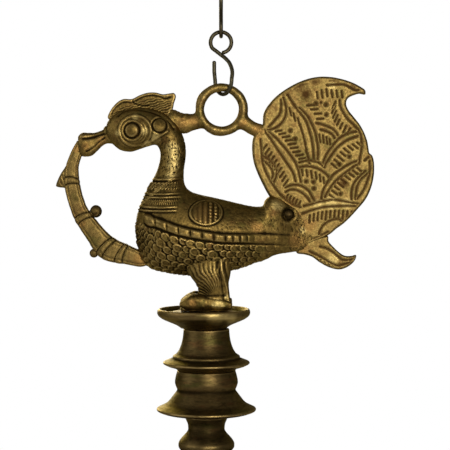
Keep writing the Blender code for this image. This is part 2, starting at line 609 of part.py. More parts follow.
lamp_frame = empty("lamp_frame", (0, 0, 0))
chain_frame = empty("chain_frame", (0, 0, 0))
hanging_z = suspension(chain_frame, dull_wire)
lamp_frame.location = Vector((-HANG_X, 0, -hanging_z)) * MM
chain_frame.location = Vector((0, 0, -hanging_z)) * MM
bird(lamp_frame, cast, engraved)
column_and_bowl(lamp_frame, lathe)
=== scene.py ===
# Looks of a hanging brass bird lamp. Shapes are drawn in millimetres in the lamp's own frame: x from the
# column's axis towards the tail, z up from the plinth's foot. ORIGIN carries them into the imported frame.
import json
import math

import bpy
import numpy as np
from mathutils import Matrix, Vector


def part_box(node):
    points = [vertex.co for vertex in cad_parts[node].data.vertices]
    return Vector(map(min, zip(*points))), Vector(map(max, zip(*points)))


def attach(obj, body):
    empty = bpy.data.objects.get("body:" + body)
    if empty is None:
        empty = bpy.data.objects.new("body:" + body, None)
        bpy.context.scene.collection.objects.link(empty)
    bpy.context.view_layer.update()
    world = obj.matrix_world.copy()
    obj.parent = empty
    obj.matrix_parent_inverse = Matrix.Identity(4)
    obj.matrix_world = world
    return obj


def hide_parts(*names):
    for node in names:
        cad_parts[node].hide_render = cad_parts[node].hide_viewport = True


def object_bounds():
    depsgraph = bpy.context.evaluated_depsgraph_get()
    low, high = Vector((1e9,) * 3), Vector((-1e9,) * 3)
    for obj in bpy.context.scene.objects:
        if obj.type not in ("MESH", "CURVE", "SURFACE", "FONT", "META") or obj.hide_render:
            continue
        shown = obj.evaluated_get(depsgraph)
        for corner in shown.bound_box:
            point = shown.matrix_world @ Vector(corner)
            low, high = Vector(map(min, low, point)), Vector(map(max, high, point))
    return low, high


MM = 0.001
FAR = 1e9

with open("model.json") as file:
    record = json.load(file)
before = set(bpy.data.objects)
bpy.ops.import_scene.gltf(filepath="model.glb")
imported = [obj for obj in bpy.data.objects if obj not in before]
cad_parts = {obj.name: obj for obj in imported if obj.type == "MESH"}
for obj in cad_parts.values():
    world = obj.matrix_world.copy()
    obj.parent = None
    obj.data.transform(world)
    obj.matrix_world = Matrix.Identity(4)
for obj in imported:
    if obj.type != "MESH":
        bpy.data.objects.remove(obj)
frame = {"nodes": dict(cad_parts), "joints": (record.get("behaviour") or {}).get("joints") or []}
CAD_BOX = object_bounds()
ROD_LOW, ROD_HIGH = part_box("tie_rod")
ORIGIN = np.array([(ROD_LOW.x + ROD_HIGH.x) / 2, (ROD_LOW.y + ROD_HIGH.y) / 2, ROD_HIGH.z + 0.8 * MM])
PIVOT = {j["name"]: np.array(j["pos_m"]) / MM for j in frame["joints"]}
RNG = np.random.default_rng(7)

# ---------------------------------------------------------------- outlines

# Back line and breast line of the bird, paired, with half the width there
BIRD = [
    (60.4, 57.0, 64.4, 40.0, 1.9),
    (54.8, 60.6, 58.4, 35.8, 3.1),
    (50.0, 63.0, 52.6, 34.9, 5.1),
    (45.6, 65.8, 47.6, 34.3, 7.3),
    (41.4, 67.9, 43.4, 33.7, 9.3),
    (38.0, 68.2, 40.0, 32.6, 10.4),
    (35.2, 65.6, 37.0, 31.0, 11.4),
    (33.6, 62.4, 33.8, 29.6, 12.2),
    (28.0, 62.2, 28.0, 27.8, 13.9),
    (20.6, 63.6, 20.6, 25.2, 16.4),
    (13.0, 65.4, 12.6, 23.2, 18.0),
    (4.6, 67.4, 1.6, 21.0, 19.2),
    (-3.0, 69.0, -10.0, 20.8, 19.8),
    (-8.2, 70.6, -22.0, 22.3, 19.8),
    (-11.0, 72.4, -32.4, 24.9, 18.8),
    (-12.4, 74.2, -38.2, 29.4, 17.8),
    (-13.3, 76.4, -40.8, 36.4, 16.6),
    (-13.6, 78.8, -42.2, 47.0, 15.2),
    (-13.6, 81.2, -41.8, 56.0, 13.4),
    (-13.5, 83.6, -39.2, 64.0, 11.4),
    (-13.1, 86.4, -35.8, 71.7, 9.9),
    (-12.5, 90.0, -32.2, 78.0, 8.8),
    (-12.2, 94.2, -29.2, 84.6, 8.0),
    (-12.6, 99.6, -27.6, 91.2, 7.8),
    (-14.4, 105.6, -28.0, 96.2, 8.0),
    (-17.6, 111.6, -30.4, 98.9, 8.8),
    (-23.4, 117.2, -35.0, 98.0, 9.5),
    (-30.8, 120.4, -39.8, 96.4, 9.8),
    (-39.2, 121.7, -45.2, 94.9, 9.8),
    (-47.6, 120.8, -51.2, 95.8, 9.0),
    (-54.2, 118.0, -55.7, 99.2, 7.2),
    (-58.6, 113.4, -58.3, 101.4, 5.2),
    (-59.8, 110.4, -59.5, 103.8, 3.8),
]
SEAM_SECTION = 19  # the neck's casting is set into the body's here
EYE = (-44.0, 107.4)
CREST_GROOVE = [
    (-52.6, 116.4), (-49.6, 119.0), (-45.4, 120.0), (-41.0, 120.2), (-33.4, 118.8), (-27.4, 116.4),
    (-22.2, 112.8), (-19.0, 108.6),
]
EYE_RIM_CENTRE, EYE_RIM = (-42.2, 107.3), (9.4, 9.0)
BOSS = (-27.6, 110.4)
CHEEK_RIDGE = [(-38.0, 98.8), (-33.0, 101.0), (-28.5, 103.6), (-23.0, 106.8)]
STRAP = [
    (-60, 59.4), (-42, 57.2), (-33.3, 54.2), (-27.1, 52.3), (-18.5, 49.2), (-12.6, 47.6), (-5.8, 46.2),
    (2.3, 44.9), (8.4, 44.0), (16.3, 43.7), (26.0, 43.5), (36.0, 43.1), (46.0, 42.4), (60.0, 41.5),
    (80.0, 41.0),
]
MEDALLION, MEDALLION_AXES = (0.0, 58.8), (10.0, 7.5)

BEAK = [
    (-54.6, 109.6, -54.6, 99.4, 3.4),
    (-59.5, 108.4, -59.2, 99.8, 3.6),
    (-63.6, 106.8, -62.4, 98.2, 3.6),
    (-67.2, 105.8, -65.6, 95.0, 3.7),
    (-70.8, 105.8, -68.9, 92.4, 4.0),
    (-74.2, 105.8, -73.6, 92.0, 4.2),
    (-76.2, 104.0, -75.8, 93.2, 3.4),
]
MOUTH = [(-60.5, 105.6), (-63.5, 104.8), (-66.6, 103.7), (-70.0, 102.9), (-73.6, 102.6)]
CHIN_LINE = [(-60.6, 103.2), (-64.6, 100.2), (-67.6, 97.2), (-71.4, 95.0)]

CREEPER = [
    (-77.2, 101.6, -74.4, 93.2, 2.2),
    (-80.2, 96.2, -76.0, 88.4, 2.9),
    (-82.9, 90.0, -76.6, 85.0, 3.0),
    (-84.3, 85.0, -76.5, 82.0, 3.0),
    (-84.9, 79.5, -76.2, 78.5, 3.1),
    (-84.6, 73.0, -75.6, 74.5, 3.2),
    (-83.3, 66.8, -74.4, 69.5, 3.3),
    (-81.2, 60.0, -72.2, 63.0, 3.4),
    (-78.8, 54.0, -69.5, 58.5, 3.5),
    (-75.2, 48.0, -66.3, 54.3, 3.6),
    (-71.2, 42.0, -62.0, 49.2, 3.7),
    (-67.5, 36.0, -57.8, 45.0, 3.8),
    (-62.5, 30.8, -53.5, 42.0, 3.9),
    (-56.0, 28.6, -49.5, 40.2, 4.0),
    (-48.0, 27.4, -45.5, 38.4, 4.0),
    (-40.0, 26.0, -40.5, 36.0, 4.0),
    (-34.0, 27.2, -37.0, 34.5, 3.4),
]
CREEPER_BANDS = [(-80.4, 77.0), (-73.6, 55.0), (-59.5, 38.5), (-50.5, 33.5)]
CREEPER_BOW = -1.0
CREEPER_LEAF = [
    (-82.6, 87.2), (-85.4, 84.4), (-87.9, 80.4), (-89.9, 75.6), (-89.6, 74.0), (-86.0, 73.4), (-82.6, 74.0),
]

CREST = [
    (-58.6, 114.6), (-57.4, 119.2), (-53.8, 123.8), (-49.6, 126.3), (-44.4, 126.4), (-39.8, 128.6),
    (-35.0, 130.1), (-30.2, 130.2), (-26.0, 129.2), (-21.8, 129.7), (-19.4, 129.9), (-18.2, 128.0),
    (-19.4, 123.6), (-20.6, 119.6), (-26.0, 113.0), (-40.0, 116.0), (-52.0, 113.0),
]
TAIL = [
    (33.6, 111.0), (34.0, 116.4), (35.4, 120.2), (38.0, 123.9), (41.4, 127.6), (46.0, 131.2), (51.2, 134.4),
    (56.4, 136.9), (61.8, 138.7), (68.0, 139.7), (74.4, 139.5), (79.6, 138.6), (84.0, 137.4), (88.0, 135.9),
    (91.8, 133.9), (94.7, 131.9), (95.2, 129.9), (94.6, 129.0), (91.4, 129.5), (88.0, 128.6), (85.2, 127.2),
    (83.8, 125.2), (83.8, 122.4), (85.4, 119.2), (88.4, 115.4), (91.6, 111.4), (94.2, 106.8), (96.2, 101.6),
    (97.1, 96.8), (97.6, 94.2), (99.4, 92.4), (100.4, 88.2), (100.4, 81.6), (99.2, 75.0), (97.2, 69.6),
    (94.6, 65.2), (91.2, 61.2), (87.0, 56.5), (82.6, 52.2), (78.0, 48.8), (73.2, 45.0), (64.0, 40.8),
    (54.4, 38.0), (45.0, 39.0), (41.8, 60.6), (40.0, 66.0), (37.4, 68.8), (34.2, 74.6), (30.8, 81.8),
    (28.4, 88.6), (27.4, 96.2), (28.0, 103.0), (30.6, 107.6),
]
FEATHER = [
    (54.3, 38.6), (60.0, 40.8), (66.0, 43.2), (72.6, 44.6), (73.3, 41.3), (75.8, 38.3), (79.6, 34.7),
    (83.0, 32.6), (86.8, 32.4), (89.8, 33.0), (89.4, 30.4), (87.2, 27.6), (83.4, 25.2), (79.0, 24.3),
    (73.4, 25.7), (68.0, 28.6), (63.6, 31.8), (59.0, 33.3), (54.3, 34.2),
]
RIVET = (49.2, 57.6)

RING_CENTRE, RING_R = (9.1, 120.3), 13.0
LEG = [
    (-12.0, 35.0, 12.0, 38.0, 2.4),
    (-12.4, 29.4, 14.6, 33.0, 5.2),
    (-10.8, 23.4, 14.8, 25.0, 6.7),
    (-8.4, 19.2, 13.9, 18.6, 6.4),
    (-5.5, 15.2, 13.7, 13.6, 5.5),
    (-4.7, 11.8, 14.0, 9.4, 5.0),
    (-6.6, 8.4, 14.4, 5.6, 5.2),
]
FOOT = [
    (15.0, 6.0, 14.6, 1.0, 4.4),
    (9.0, 8.6, 9.0, 0.6, 5.7),
    (1.0, 9.6, 1.0, 0.6, 6.2),
    (-6.6, 10.6, -6.6, 0.6, 6.5),
    (-11.4, 9.0, -11.4, 0.8, 6.5),
    (-15.4, 5.6, -15.0, 2.2, 5.4),
]
LEG_Y = 10.0

# Turned outlines: radius and height, down the outer side
SAUCER_SHIFT_X, SAUCER_BORE = -1.6, 8.3
# Painted highlights: a lighter band along the saucer's lip
SAUCER_LIP_HIGHLIGHT = [(6, -2.0, 8), (14, -2.2, 6)]
SAUCER = [
    (8.3, -0.4), (17.0, -0.7), (21.0, -1.8), (23.8, -1.8), (25.4, -0.3), (26.4, 0.6), (27.3, 0.6),
    (27.9, -0.4), (28.0, -2.0), (27.3, -3.6), (24.8, -5.4), (20.6, -7.2), (16.8, -8.8), (14.6, -10.2),
    (13.7, -11.0), (8.3, -11.0),
]
STEM = [
    (3.5, -11.0), (13.7, -11.0), (13.8, -13.0), (14.2, -17.0), (15.1, -20.8), (16.4, -24.0), (18.0, -26.4),
    (19.8, -27.4), (20.3, -28.0), (20.2, -28.7), (21.0, -29.3), (23.6, -30.3), (25.8, -31.2), (26.2, -31.8),
    (25.8, -32.5), (23.0, -33.8), (20.0, -34.6), (18.2, -35.4), (17.6, -36.15), (3.5, -36.15),
]
BELL = [
    (3.5, -36.15), (17.5, -36.15), (17.7, -37.4), (18.3, -39.4), (18.9, -42.2), (19.0, -44.0),
    (18.3, -46.2), (17.6, -47.6), (17.7, -48.6), (19.4, -50.8), (21.2, -53.2), (22.4, -54.8), (24.4, -56.7),
    (27.6, -58.3), (29.8, -59.3), (30.0, -60.0), (29.6, -60.7), (26.0, -62.0), (18.0, -63.0), (14.0, -63.4),
    (3.5, -63.4),
]
COLUMN = [
    (3.5, -63.7), (13.6, -63.7), (12.6, -65.6), (11.2, -68.8), (10.9, -72.4), (12.2, -74.4), (15.4, -77.8),
    (16.9, -80.2), (16.9, -82.8), (15.2, -85.0), (12.2, -87.8), (10.9, -90.4), (10.5, -95.0),
    (10.5, -101.0), (11.8, -107.6), (14.4, -112.2), (16.8, -114.6), (17.5, -116.0), (17.5, -117.7),
    (3.5, -117.7),
]
FOOT_TURNED = [
    (3.5, -121.3), (14.9, -121.3), (13.6, -123.2), (11.5, -126.0), (11.0, -129.0), (11.8, -132.0),
    (14.4, -134.8), (18.6, -137.8), (24.0, -140.5), (30.0, -142.4), (33.4, -143.6), (34.4, -145.0),
    (34.3, -146.1), (33.6, -146.5), (27.4, -146.5), (25.0, -145.0), (22.0, -142.9), (17.0, -141.2),
    (12.0, -140.0), (12.0, -137.0), (3.5, -137.0),
]
BOWL_FLOOR_Z, BOWL_DEPTH, BOWL_WALL = -118.0, 18.0, 2.4
BOWL_R, BOWL_FLOOR_R, RIM_BULGE = 58.0, 20.0, 0.2
LIPS, LIP_REACH, LIP_SPREAD = 5, 11.6, 0.17
BORE_R = 3.5

WIRE_R, DRAWN_WIRE_R = 1.17, 1.185
EYE_R, HOOK_EYE_R, TOP_HOOK_R, TOP_HOOK_SHANK, LINK_EYES_APART = 5.0, 6.2, 8.0, 6.0, 16.0
HOOK_BEND_R, HOOK_TURN_DEG = 8.4, 54.0
# The hook's long leg, from above its bend up to where it crosses itself below the eye
HOOK_RISE = [(6.7, -5.4, -10.2), (5.2, -3.2, -5.3), (2.6, -1.2, -2.1), (0, 0, 0)]

# ---------------------------------------------------------------- curves and masks


def smooth_through(points, per_span=12, closed=False):
    """Points along a Catmull-Rom curve through the given ones, in any number of dimensions."""
    p = np.asarray(points, float)
    padded = np.vstack([p[-1:], p, p[:2]]) if closed else np.vstack([2 * p[0] - p[1], p, 2 * p[-1] - p[-2]])
    t = np.linspace(0, 1, per_span, endpoint=False)[:, None]
    spans = []
    for a, b, c, d in zip(padded, padded[1:], padded[2:], padded[3:]):
        bend, twist = 2 * a - 5 * b + 4 * c - d, 3 * b - a - 3 * c + d
        spans.append(0.5 * (2 * b + (c - a) * t + bend * t**2 + twist * t**3))
    if not closed:
        spans.append(p[-1:])
    return np.vstack(spans)


def even(points, count, along=None):
    """The same curve with its points evenly spaced, by the distance between the values in along."""
    along = points if along is None else along
    run = np.concatenate([[0], np.cumsum(np.linalg.norm(np.diff(along, axis=0), axis=1))])
    at = np.linspace(0, run[-1], count)
    return np.stack([np.interp(at, run, column) for column in np.asarray(points).T], axis=1)


def length_of(points):
    return float(np.linalg.norm(np.diff(points, axis=0), axis=1).sum())


def step(low, high, value):
    """0 below low, 1 above high, smooth between; low may be the higher of the two."""
    t = np.clip((value - low) / (high - low), 0, 1)
    return t * t * (3 - 2 * t)


def bell(distance, width):
    return np.exp(-((distance / width) ** 2))


def dome(distance, radius):
    return np.sqrt(np.clip(1 - (distance / radius) ** 2, 0, 1))


def noise(points, size, seed=0, octaves=3):
    """Smooth value noise between -1 and 1, with features of the given size in mm."""
    shape = points.shape[:-1]
    points = points.reshape(-1, 3)
    total, weight = np.zeros(len(points)), 0
    for octave in range(octaves):
        p = points / size * 2**octave + 17.3 * (seed + octave)
        cell = np.floor(p).astype(np.int64)
        t = p - cell
        t = t * t * (3 - 2 * t)
        value = np.zeros(len(points))
        for corner in range(8):
            bits = np.array([corner >> 2 & 1, corner >> 1 & 1, corner & 1])
            c = cell + bits
            hashed = np.sin(c @ np.array([127.1, 311.7, 74.7]) + 13.7 * seed) * 43758.5453
            value += (hashed - np.floor(hashed)) * np.prod(np.where(bits, t, 1 - t), axis=1)
        total += (2 * value - 1) * 0.5**octave
        weight += 0.5**octave
    return (total / weight).reshape(shape)


def segment_distance(x, z, start, end):
    """Distance from each point to one straight stroke."""
    (ax, az), (bx, bz) = start, end
    size = (bx - ax) ** 2 + (bz - az) ** 2
    t = np.clip(((x - ax) * (bx - ax) + (z - az) * (bz - az)) / size, 0, 1)
    return np.hypot(x - ax - t * (bx - ax), z - az - t * (bz - az))


def line_distance(x, z, line, reach):
    """Distance from each point to a line through the given points, worked out only within reach of it."""
    line = np.asarray(line, float)
    best = np.full(x.shape, FAR)
    near = (x > line[:, 0].min() - reach) & (x < line[:, 0].max() + reach)
    near &= (z > line[:, 1].min() - reach) & (z < line[:, 1].max() + reach)
    for start, end in zip(line, line[1:]):
        best[near] = np.minimum(best[near], segment_distance(x[near], z[near], start, end))
    return best


def scales(along, across, pitch, row, seed=0, tilt=0.5):
    """Overlapping scales in uneven, staggered rows, each rising to its rounded free edge."""
    height = np.zeros(along.shape)
    base_row = np.floor(across / row)
    for dr in (-1, 0, 1):
        r = base_row + dr
        shift = 0.5 * (r % 2)
        base = np.floor(along / pitch - shift)
        for dc in (-1, 0, 1):
            c = base + dc
            key = np.sin(c * 12.9898 + r * 78.233 + seed) * 43758.5453
            key = key - np.floor(key)
            other = np.floor(key * 97) / 97
            centre_a = (c + 0.5 + shift + 0.42 * (key - 0.5)) * pitch
            centre_b = (r + 0.5 + 0.42 * (other - 0.5)) * row
            u = (along - centre_a) / (0.62 * pitch * (0.85 + 0.3 * other))
            v = (across - centre_b) / (0.66 * row * (0.85 + 0.3 * key))
            d = np.hypot(u, v)
            scale = step(1.0, 0.78, d) * (0.5 + 0.2 * key + tilt * u)
            scale += 0.16 * bell(d - 0.72, 0.12) - 0.12 * bell(d - 0.45, 0.1)
            height = np.maximum(height, scale)
    return height


# ---------------------------------------------------------------- meshes


def grid_faces(rows, sides, wrap_rows=False):
    k = np.arange(sides)
    after = (k + 1) % sides
    quads = []
    for r in range(rows if wrap_rows else rows - 1):
        a, b = r * sides, ((r + 1) % rows) * sides
        quads.append(np.stack([a + k, a + after, b + after, b + k], axis=1))
    return np.vstack(quads)


def loft(rings, wrap_rows=False):
    """Vertices and faces of a closed skin over rings, (rows, sides, 3), with a fan over each end."""
    rows, sides = rings.shape[:2]
    verts = rings.reshape(-1, 3)
    faces = grid_faces(rows, sides, wrap_rows)
    if wrap_rows:
        return verts, [faces]
    k = np.arange(sides)
    after = (k + 1) % sides
    ends = np.stack([rings[0].mean(0), rings[-1].mean(0)])
    first, last = len(verts), len(verts) + 1
    low = np.stack([after, k, np.full(sides, first)], axis=1)
    top = (rows - 1) * sides
    high = np.stack([top + k, top + after, np.full(sides, last)], axis=1)
    return np.vstack([verts, ends]), [faces, np.vstack([low, high])]


def joined(*shapes):
    """Several closed skins as one."""
    verts, groups, base = [], [], 0
    for v, fs in shapes:
        verts.append(v)
        groups += [f + base for f in fs]
        base += len(v)
    return np.vstack(verts), groups


def ring_normals(rings):
    """Outward normals of a lofted grid, worked out from its neighbours."""
    around = np.roll(rings, -1, axis=1) - np.roll(rings, 1, axis=1)
    along = np.gradient(rings, axis=0)
    normal = np.cross(around, along)
    normal /= np.maximum(np.linalg.norm(normal, axis=2, keepdims=True), 1e-9)
    centre = rings.mean(axis=1, keepdims=True)
    if ((rings - centre) * normal).sum() < 0:
        normal = -normal
    return normal


def store_point_value(mesh, name, values):
    mesh.attributes.new(name, "FLOAT", "POINT").data.foreach_set("value", values.astype(np.float32))


def hollowness(mesh, reach_mm):
    """How far each vertex lies below (+) or above (-) its smoothed surroundings, in mm."""
    count = len(mesh.vertices)
    co = np.empty(count * 3)
    mesh.vertices.foreach_get("co", co)
    co = co.reshape(-1, 3) / MM
    ends = np.empty(len(mesh.edges) * 2, np.int32)
    mesh.edges.foreach_get("vertices", ends)
    a, b = ends.reshape(-1, 2).T
    spacing = np.median(np.linalg.norm(co[a] - co[b], axis=1))
    rounds = int(np.clip((reach_mm / spacing) ** 2, 2, 40))
    degree = (np.bincount(a, minlength=count) + np.bincount(b, minlength=count))[:, None]
    smooth = co.copy()
    for _ in range(rounds):
        total = [np.bincount(a, smooth[b, k], count) + np.bincount(b, smooth[a, k], count) for k in range(3)]
        smooth = 0.5 * smooth + 0.5 * np.stack(total, axis=1) / degree
    normal = np.empty(count * 3, np.float32)
    mesh.vertex_normals.foreach_get("vector", normal)
    return ((smooth - co) * normal.reshape(-1, 3)).sum(axis=1)


# How much the spots of painted shade, and the tail's dark flaws, add to the hollow value in mm
SHADE_AND_FLAW_MM = 0.13


def nearness(verts, spots):
    """How near each vertex lies to the middle of a spot (x, z, radius), from 0 outside it to 1."""
    near = np.zeros(len(verts))
    for x, z, radius in spots:
        near = np.maximum(near, 1 - np.hypot(verts[:, 0] - x, verts[:, 2] - z) / radius)
    return near


def add_piece(
    name, shape, material, node_name, body="lamp", in_lamp=True, reach_mm=1.3,
    braze=(), polish_and_highlight=(), painted_shade_and_flaws=(),
):
    """Makes one piece from vertices in mm and says which CAD node it replaces.

    Its browned spots, its spots of polish and painted highlight, and its spots of painted shade and dark
    flaws are each (x, z, radius).
    """
    verts, groups = shape
    points = verts * MM + (ORIGIN if in_lamp else 0)
    mesh = bpy.data.meshes.new(name)
    mesh.vertices.add(len(points))
    mesh.vertices.foreach_set("co", points.ravel())
    corners = np.concatenate([g.ravel() for g in groups])
    sizes = np.concatenate([np.full(len(g), g.shape[1]) for g in groups])
    mesh.loops.add(len(corners))
    mesh.loops.foreach_set("vertex_index", corners.astype(np.int32))
    mesh.polygons.add(len(sizes))
    mesh.polygons.foreach_set("loop_start", np.concatenate([[0], np.cumsum(sizes)[:-1]]).astype(np.int32))
    mesh.update(calc_edges=True)
    mesh.validate()
    mesh.shade_smooth()
    # The hollow value darkens the colour: patina in hollows, painted shade in hollows and crevices where
    # shade falls, and painted shade round the listed spots
    store_point_value(mesh, "hollow_and_shade", hollowness(mesh, reach_mm) + SHADE_AND_FLAW_MM * nearness(verts, painted_shade_and_flaws) ** 0.7)
    # Brazed spots turn reddish brown; polished spots turn bright, among them painted highlights on the neck
    # and the saucer's lip
    store_point_value(mesh, "braze_and_highlight", nearness(verts, braze) - nearness(verts, polish_and_highlight))
    obj = bpy.data.objects.new(name, mesh)
    bpy.context.scene.collection.objects.link(obj)
    mesh.materials.append(material)
    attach(obj, body)
    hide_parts(node_name)


FORK_POWER, FORK_FROM_X, FORK_TO_X = 3.6, 26, 44


def section_rings(sections, spacing, sides, power=2.0, side_y=0.0, forked=False):
    """Rings round the sections of a body whose back and front lines are paired, evenly spaced along it.

    A higher power squares a section off; a forked body squares off towards the tail.
    """
    dense = smooth_through(sections, 16)
    middle = np.stack([(dense[:, 0] + dense[:, 2]) / 2, (dense[:, 1] + dense[:, 3]) / 2], axis=1)
    wide = [length_of(dense[:, :2]), length_of(dense[:, 2:4]), length_of(middle)]
    along = np.hstack([dense[:, :2], dense[:, 2:4]]) * 0.7
    s = even(dense, max(8, int(np.mean(wide) / spacing)), along)
    angle = np.arange(sides) / sides * math.tau
    powers = np.full((len(s), 1), power)
    if forked:
        powers = power + (FORK_POWER - power) * step(FORK_FROM_X, FORK_TO_X, (s[:, 0] + s[:, 2]) / 2)[:, None]
    up = np.sign(np.cos(angle)) * np.abs(np.cos(angle)) ** (2 / powers)
    out = np.sign(np.sin(angle)) * np.abs(np.sin(angle)) ** (2 / powers)
    centre = np.stack([(s[:, 0] + s[:, 2]) / 2, np.full(len(s), side_y), (s[:, 1] + s[:, 3]) / 2], axis=1)
    half = np.stack([(s[:, 0] - s[:, 2]) / 2, np.zeros(len(s)), (s[:, 1] - s[:, 3]) / 2], axis=1)
    rings = centre[:, None] + half[:, None] * up[..., None]
    rings[:, :, 1] += s[:, 4, None] * out
    return rings


def rounded_ends(rings, bulge, steps=6):
    """Adds shrinking rings at both ends, so that a loft ends in a soft cap."""
    def cap(ring, inner):
        centre = ring.mean(axis=0)
        outwards = centre - inner.mean(axis=0)
        outwards /= np.linalg.norm(outwards)
        turn = np.linspace(0, math.pi / 2, steps + 2)[1:-1]
        return [centre + (ring - centre) * math.cos(t) + outwards * bulge * math.sin(t) for t in turn]

    return np.stack([*reversed(cap(rings[0], rings[1])), *rings, *cap(rings[-1], rings[-2])])


def tube(path, radius, sides=20):
    """A round wire along a path, with softly rounded ends."""
    path = np.asarray(path, float)
    tangent = np.gradient(path, axis=0)
    tangent /= np.linalg.norm(tangent, axis=1, keepdims=True)
    side = np.cross(tangent[0], [0.3, 0.9, 0.31])
    rings = []
    angle = np.arange(sides) / sides * math.tau
    for point, ahead in zip(path, tangent):
        side = side - ahead * side.dot(ahead)
        side /= np.linalg.norm(side)
        other = np.cross(ahead, side)
        rings.append(point + radius * (np.cos(angle)[:, None] * side + np.sin(angle)[:, None] * other))
    return loft(rounded_ends(np.stack(rings), radius * 0.8, 4))


TURNED_SPACING, LATHE_WOBBLE = 0.5, 0.05


def turned(profile, seed, sides=240, bore=BORE_R):
    """A turned piece about the Z axis, from its outline down the outer side and back up its bore."""
    line = np.asarray(profile, float)
    for _ in range(2):
        ahead = np.roll(line, -1, axis=0)
        line = np.stack([0.82 * line + 0.18 * ahead, 0.18 * line + 0.82 * ahead], axis=1).reshape(-1, 2)
    line = np.vstack([line, line[:1]])
    line = even(line, int(length_of(line) / TURNED_SPACING))[:-1]
    angle = np.arange(sides) / sides * math.tau
    r, z = line[:, 0][:, None], line[:, 1][:, None]
    rings = np.stack([r * np.cos(angle), r * np.sin(angle), z + 0 * angle], axis=2)
    rough = noise(rings, 9.0, seed)
    fine = noise(rings, 1.6, seed + 5, 2)
    outer = (line[:, 0] > bore + 1)[:, None]
    swell = 1 + LATHE_WOBBLE * (rough + 0.35 * fine) * outer / np.maximum(r, 1)
    rings[:, :, 0] *= swell
    rings[:, :, 1] *= swell
    return loft(rings[::-1], wrap_rows=True)


def inside_distance(x, z, line):
    """Distance to a closed outline, positive inside it."""
    crossings = np.zeros(x.shape, bool)
    for (ax, az), (bx, bz) in zip(line, line[1:]):
        between = (az > z) != (bz > z)
        if az != bz:
            crossings ^= between & (x < (bx - ax) * (z - az) / (bz - az) + ax)
    best = line_distance(x, z, line, FAR)
    return np.where(crossings, best, -best)


def settled(points, field, small, least_slope, furthest):
    """Points moved onto the zero level of field(points), in a few short steps along its slope."""
    for _ in range(4):
        here = field(points)
        nudges = small * np.eye(points.shape[1])
        slope = np.stack([(field(points + nudge) - here) / small for nudge in nudges], axis=1)
        size = np.maximum((slope**2).sum(axis=1), least_slope)
        points = points - np.clip(here / size, -furthest, furthest)[:, None] * slope
    return points


def rim_wall(quads, count):
    """The strip between a face of quads and its copy count vertices later, along their open edges."""
    sides_of = np.vstack([quads[:, [k, (k + 1) % 4]] for k in range(4)])
    _, first, times = np.unique(np.sort(sides_of, axis=1), axis=0, return_index=True, return_counts=True)
    start, end = sides_of[first[times == 1]].T
    return np.stack([end, start, start + count, end + count], axis=1)


def plate(outline, half, spacing, relief, edge=0.9):
    """A flat casting in the XZ plane with softened edges, and relief(x, z, side) cut into both faces."""
    line = smooth_through(outline, 8, closed=True)
    line = np.vstack([line, line[:1]])
    low, high = line.min(0) - 2 * spacing, line.max(0) + 2 * spacing
    nx, nz = (np.ceil((high - low) / spacing)).astype(int) + 1
    gx, gz = np.meshgrid(low[0] + spacing * np.arange(nx), low[1] + spacing * np.arange(nz), indexing="ij")
    solid = inside_distance(gx, gz, line) > 0
    corners = [solid[:-1, :-1], solid[1:, :-1], solid[1:, 1:], solid[:-1, 1:]]
    used = np.any(corners, axis=0)
    rim = ~np.all(corners, axis=0)[used]
    centres = np.stack([gx[:-1, :-1][used], gz[:-1, :-1][used]], axis=1) + spacing / 2
    centres[rim] = settled(centres[rim], lambda p: inside_distance(*p.T, line), 0.02, 0.2, 0.6 * spacing)
    x, z = centres.T
    depth = np.clip(inside_distance(x, z, line), 0, None)
    depth[rim] = 0
    lift = half - edge * (1 - np.sqrt(np.clip(1 - (1 - np.clip(depth / edge, 0, 1)) ** 2, 0, 1)))
    faces = []
    for side in (-1, 1):
        cut = relief(x, z, side) * step(0, 1.5 * edge, depth)
        faces.append(np.stack([x, side * (lift + cut), z], axis=1))
    index = -np.ones(used.shape, int)
    index[used] = np.arange(used.sum())
    i, j = np.nonzero(solid[1:-1, 1:-1])
    quads = np.stack([index[i, j], index[i + 1, j], index[i + 1, j + 1], index[i, j + 1]], axis=1)
    return np.vstack(faces), [np.vstack([quads, quads[:, ::-1] + len(x), rim_wall(quads, len(x))])]


def net_quads(inside, index):
    """A quad across each grid edge that crosses the skin, on the vertices of the four cells round it."""
    quads = []
    for axis in range(3):
        others = [(axis + 1) % 3, (axis + 2) % 3]
        a = np.take(inside, range(inside.shape[axis] - 1), axis=axis)
        b = np.take(inside, range(1, inside.shape[axis]), axis=axis)
        cross = np.stack(np.nonzero(a != b), axis=1)
        cross = cross[np.all([(cross[:, o] > 0) & (cross[:, o] < index.shape[o]) for o in others], axis=0)]
        corners = []
        for du, dv in ((-1, -1), (0, -1), (0, 0), (-1, 0)):
            at = cross.copy()
            at[:, others[0]] += du
            at[:, others[1]] += dv
            corners.append(index[tuple(at.T)])
        quad = np.stack(corners, axis=1)
        quads.append(np.where(a[tuple(cross.T)][:, None], quad, quad[:, ::-1]))
    return np.vstack(quads)


def surface_net(field, low, high, cell):
    """A closed skin on the zero level of field(points), which is negative inside."""
    count = np.ceil((np.asarray(high) - low) / cell).astype(int) + 1
    axes = [low[k] + cell * np.arange(count[k]) for k in range(3)]
    grid = np.stack(np.meshgrid(*axes, indexing="ij"), axis=-1)
    inside = field(grid.reshape(-1, 3)).reshape(count) < 0
    shape = count - 1
    some, every = np.zeros(shape, bool), np.ones(shape, bool)
    for corner in range(8):
        i, j, k = corner >> 2 & 1, corner >> 1 & 1, corner & 1
        part = inside[i : i + shape[0], j : j + shape[1], k : k + shape[2]]
        some |= part
        every &= part
    mixed = some & ~every
    index = -np.ones(shape, int)
    index[mixed] = np.arange(mixed.sum())
    verts = np.asarray(low) + (np.stack(np.nonzero(mixed), axis=1) + 0.5) * cell
    return settled(verts, field, 0.05 * cell, 0.1, 0.7 * cell), [net_quads(inside, index)]


# ---------------------------------------------------------------- materials


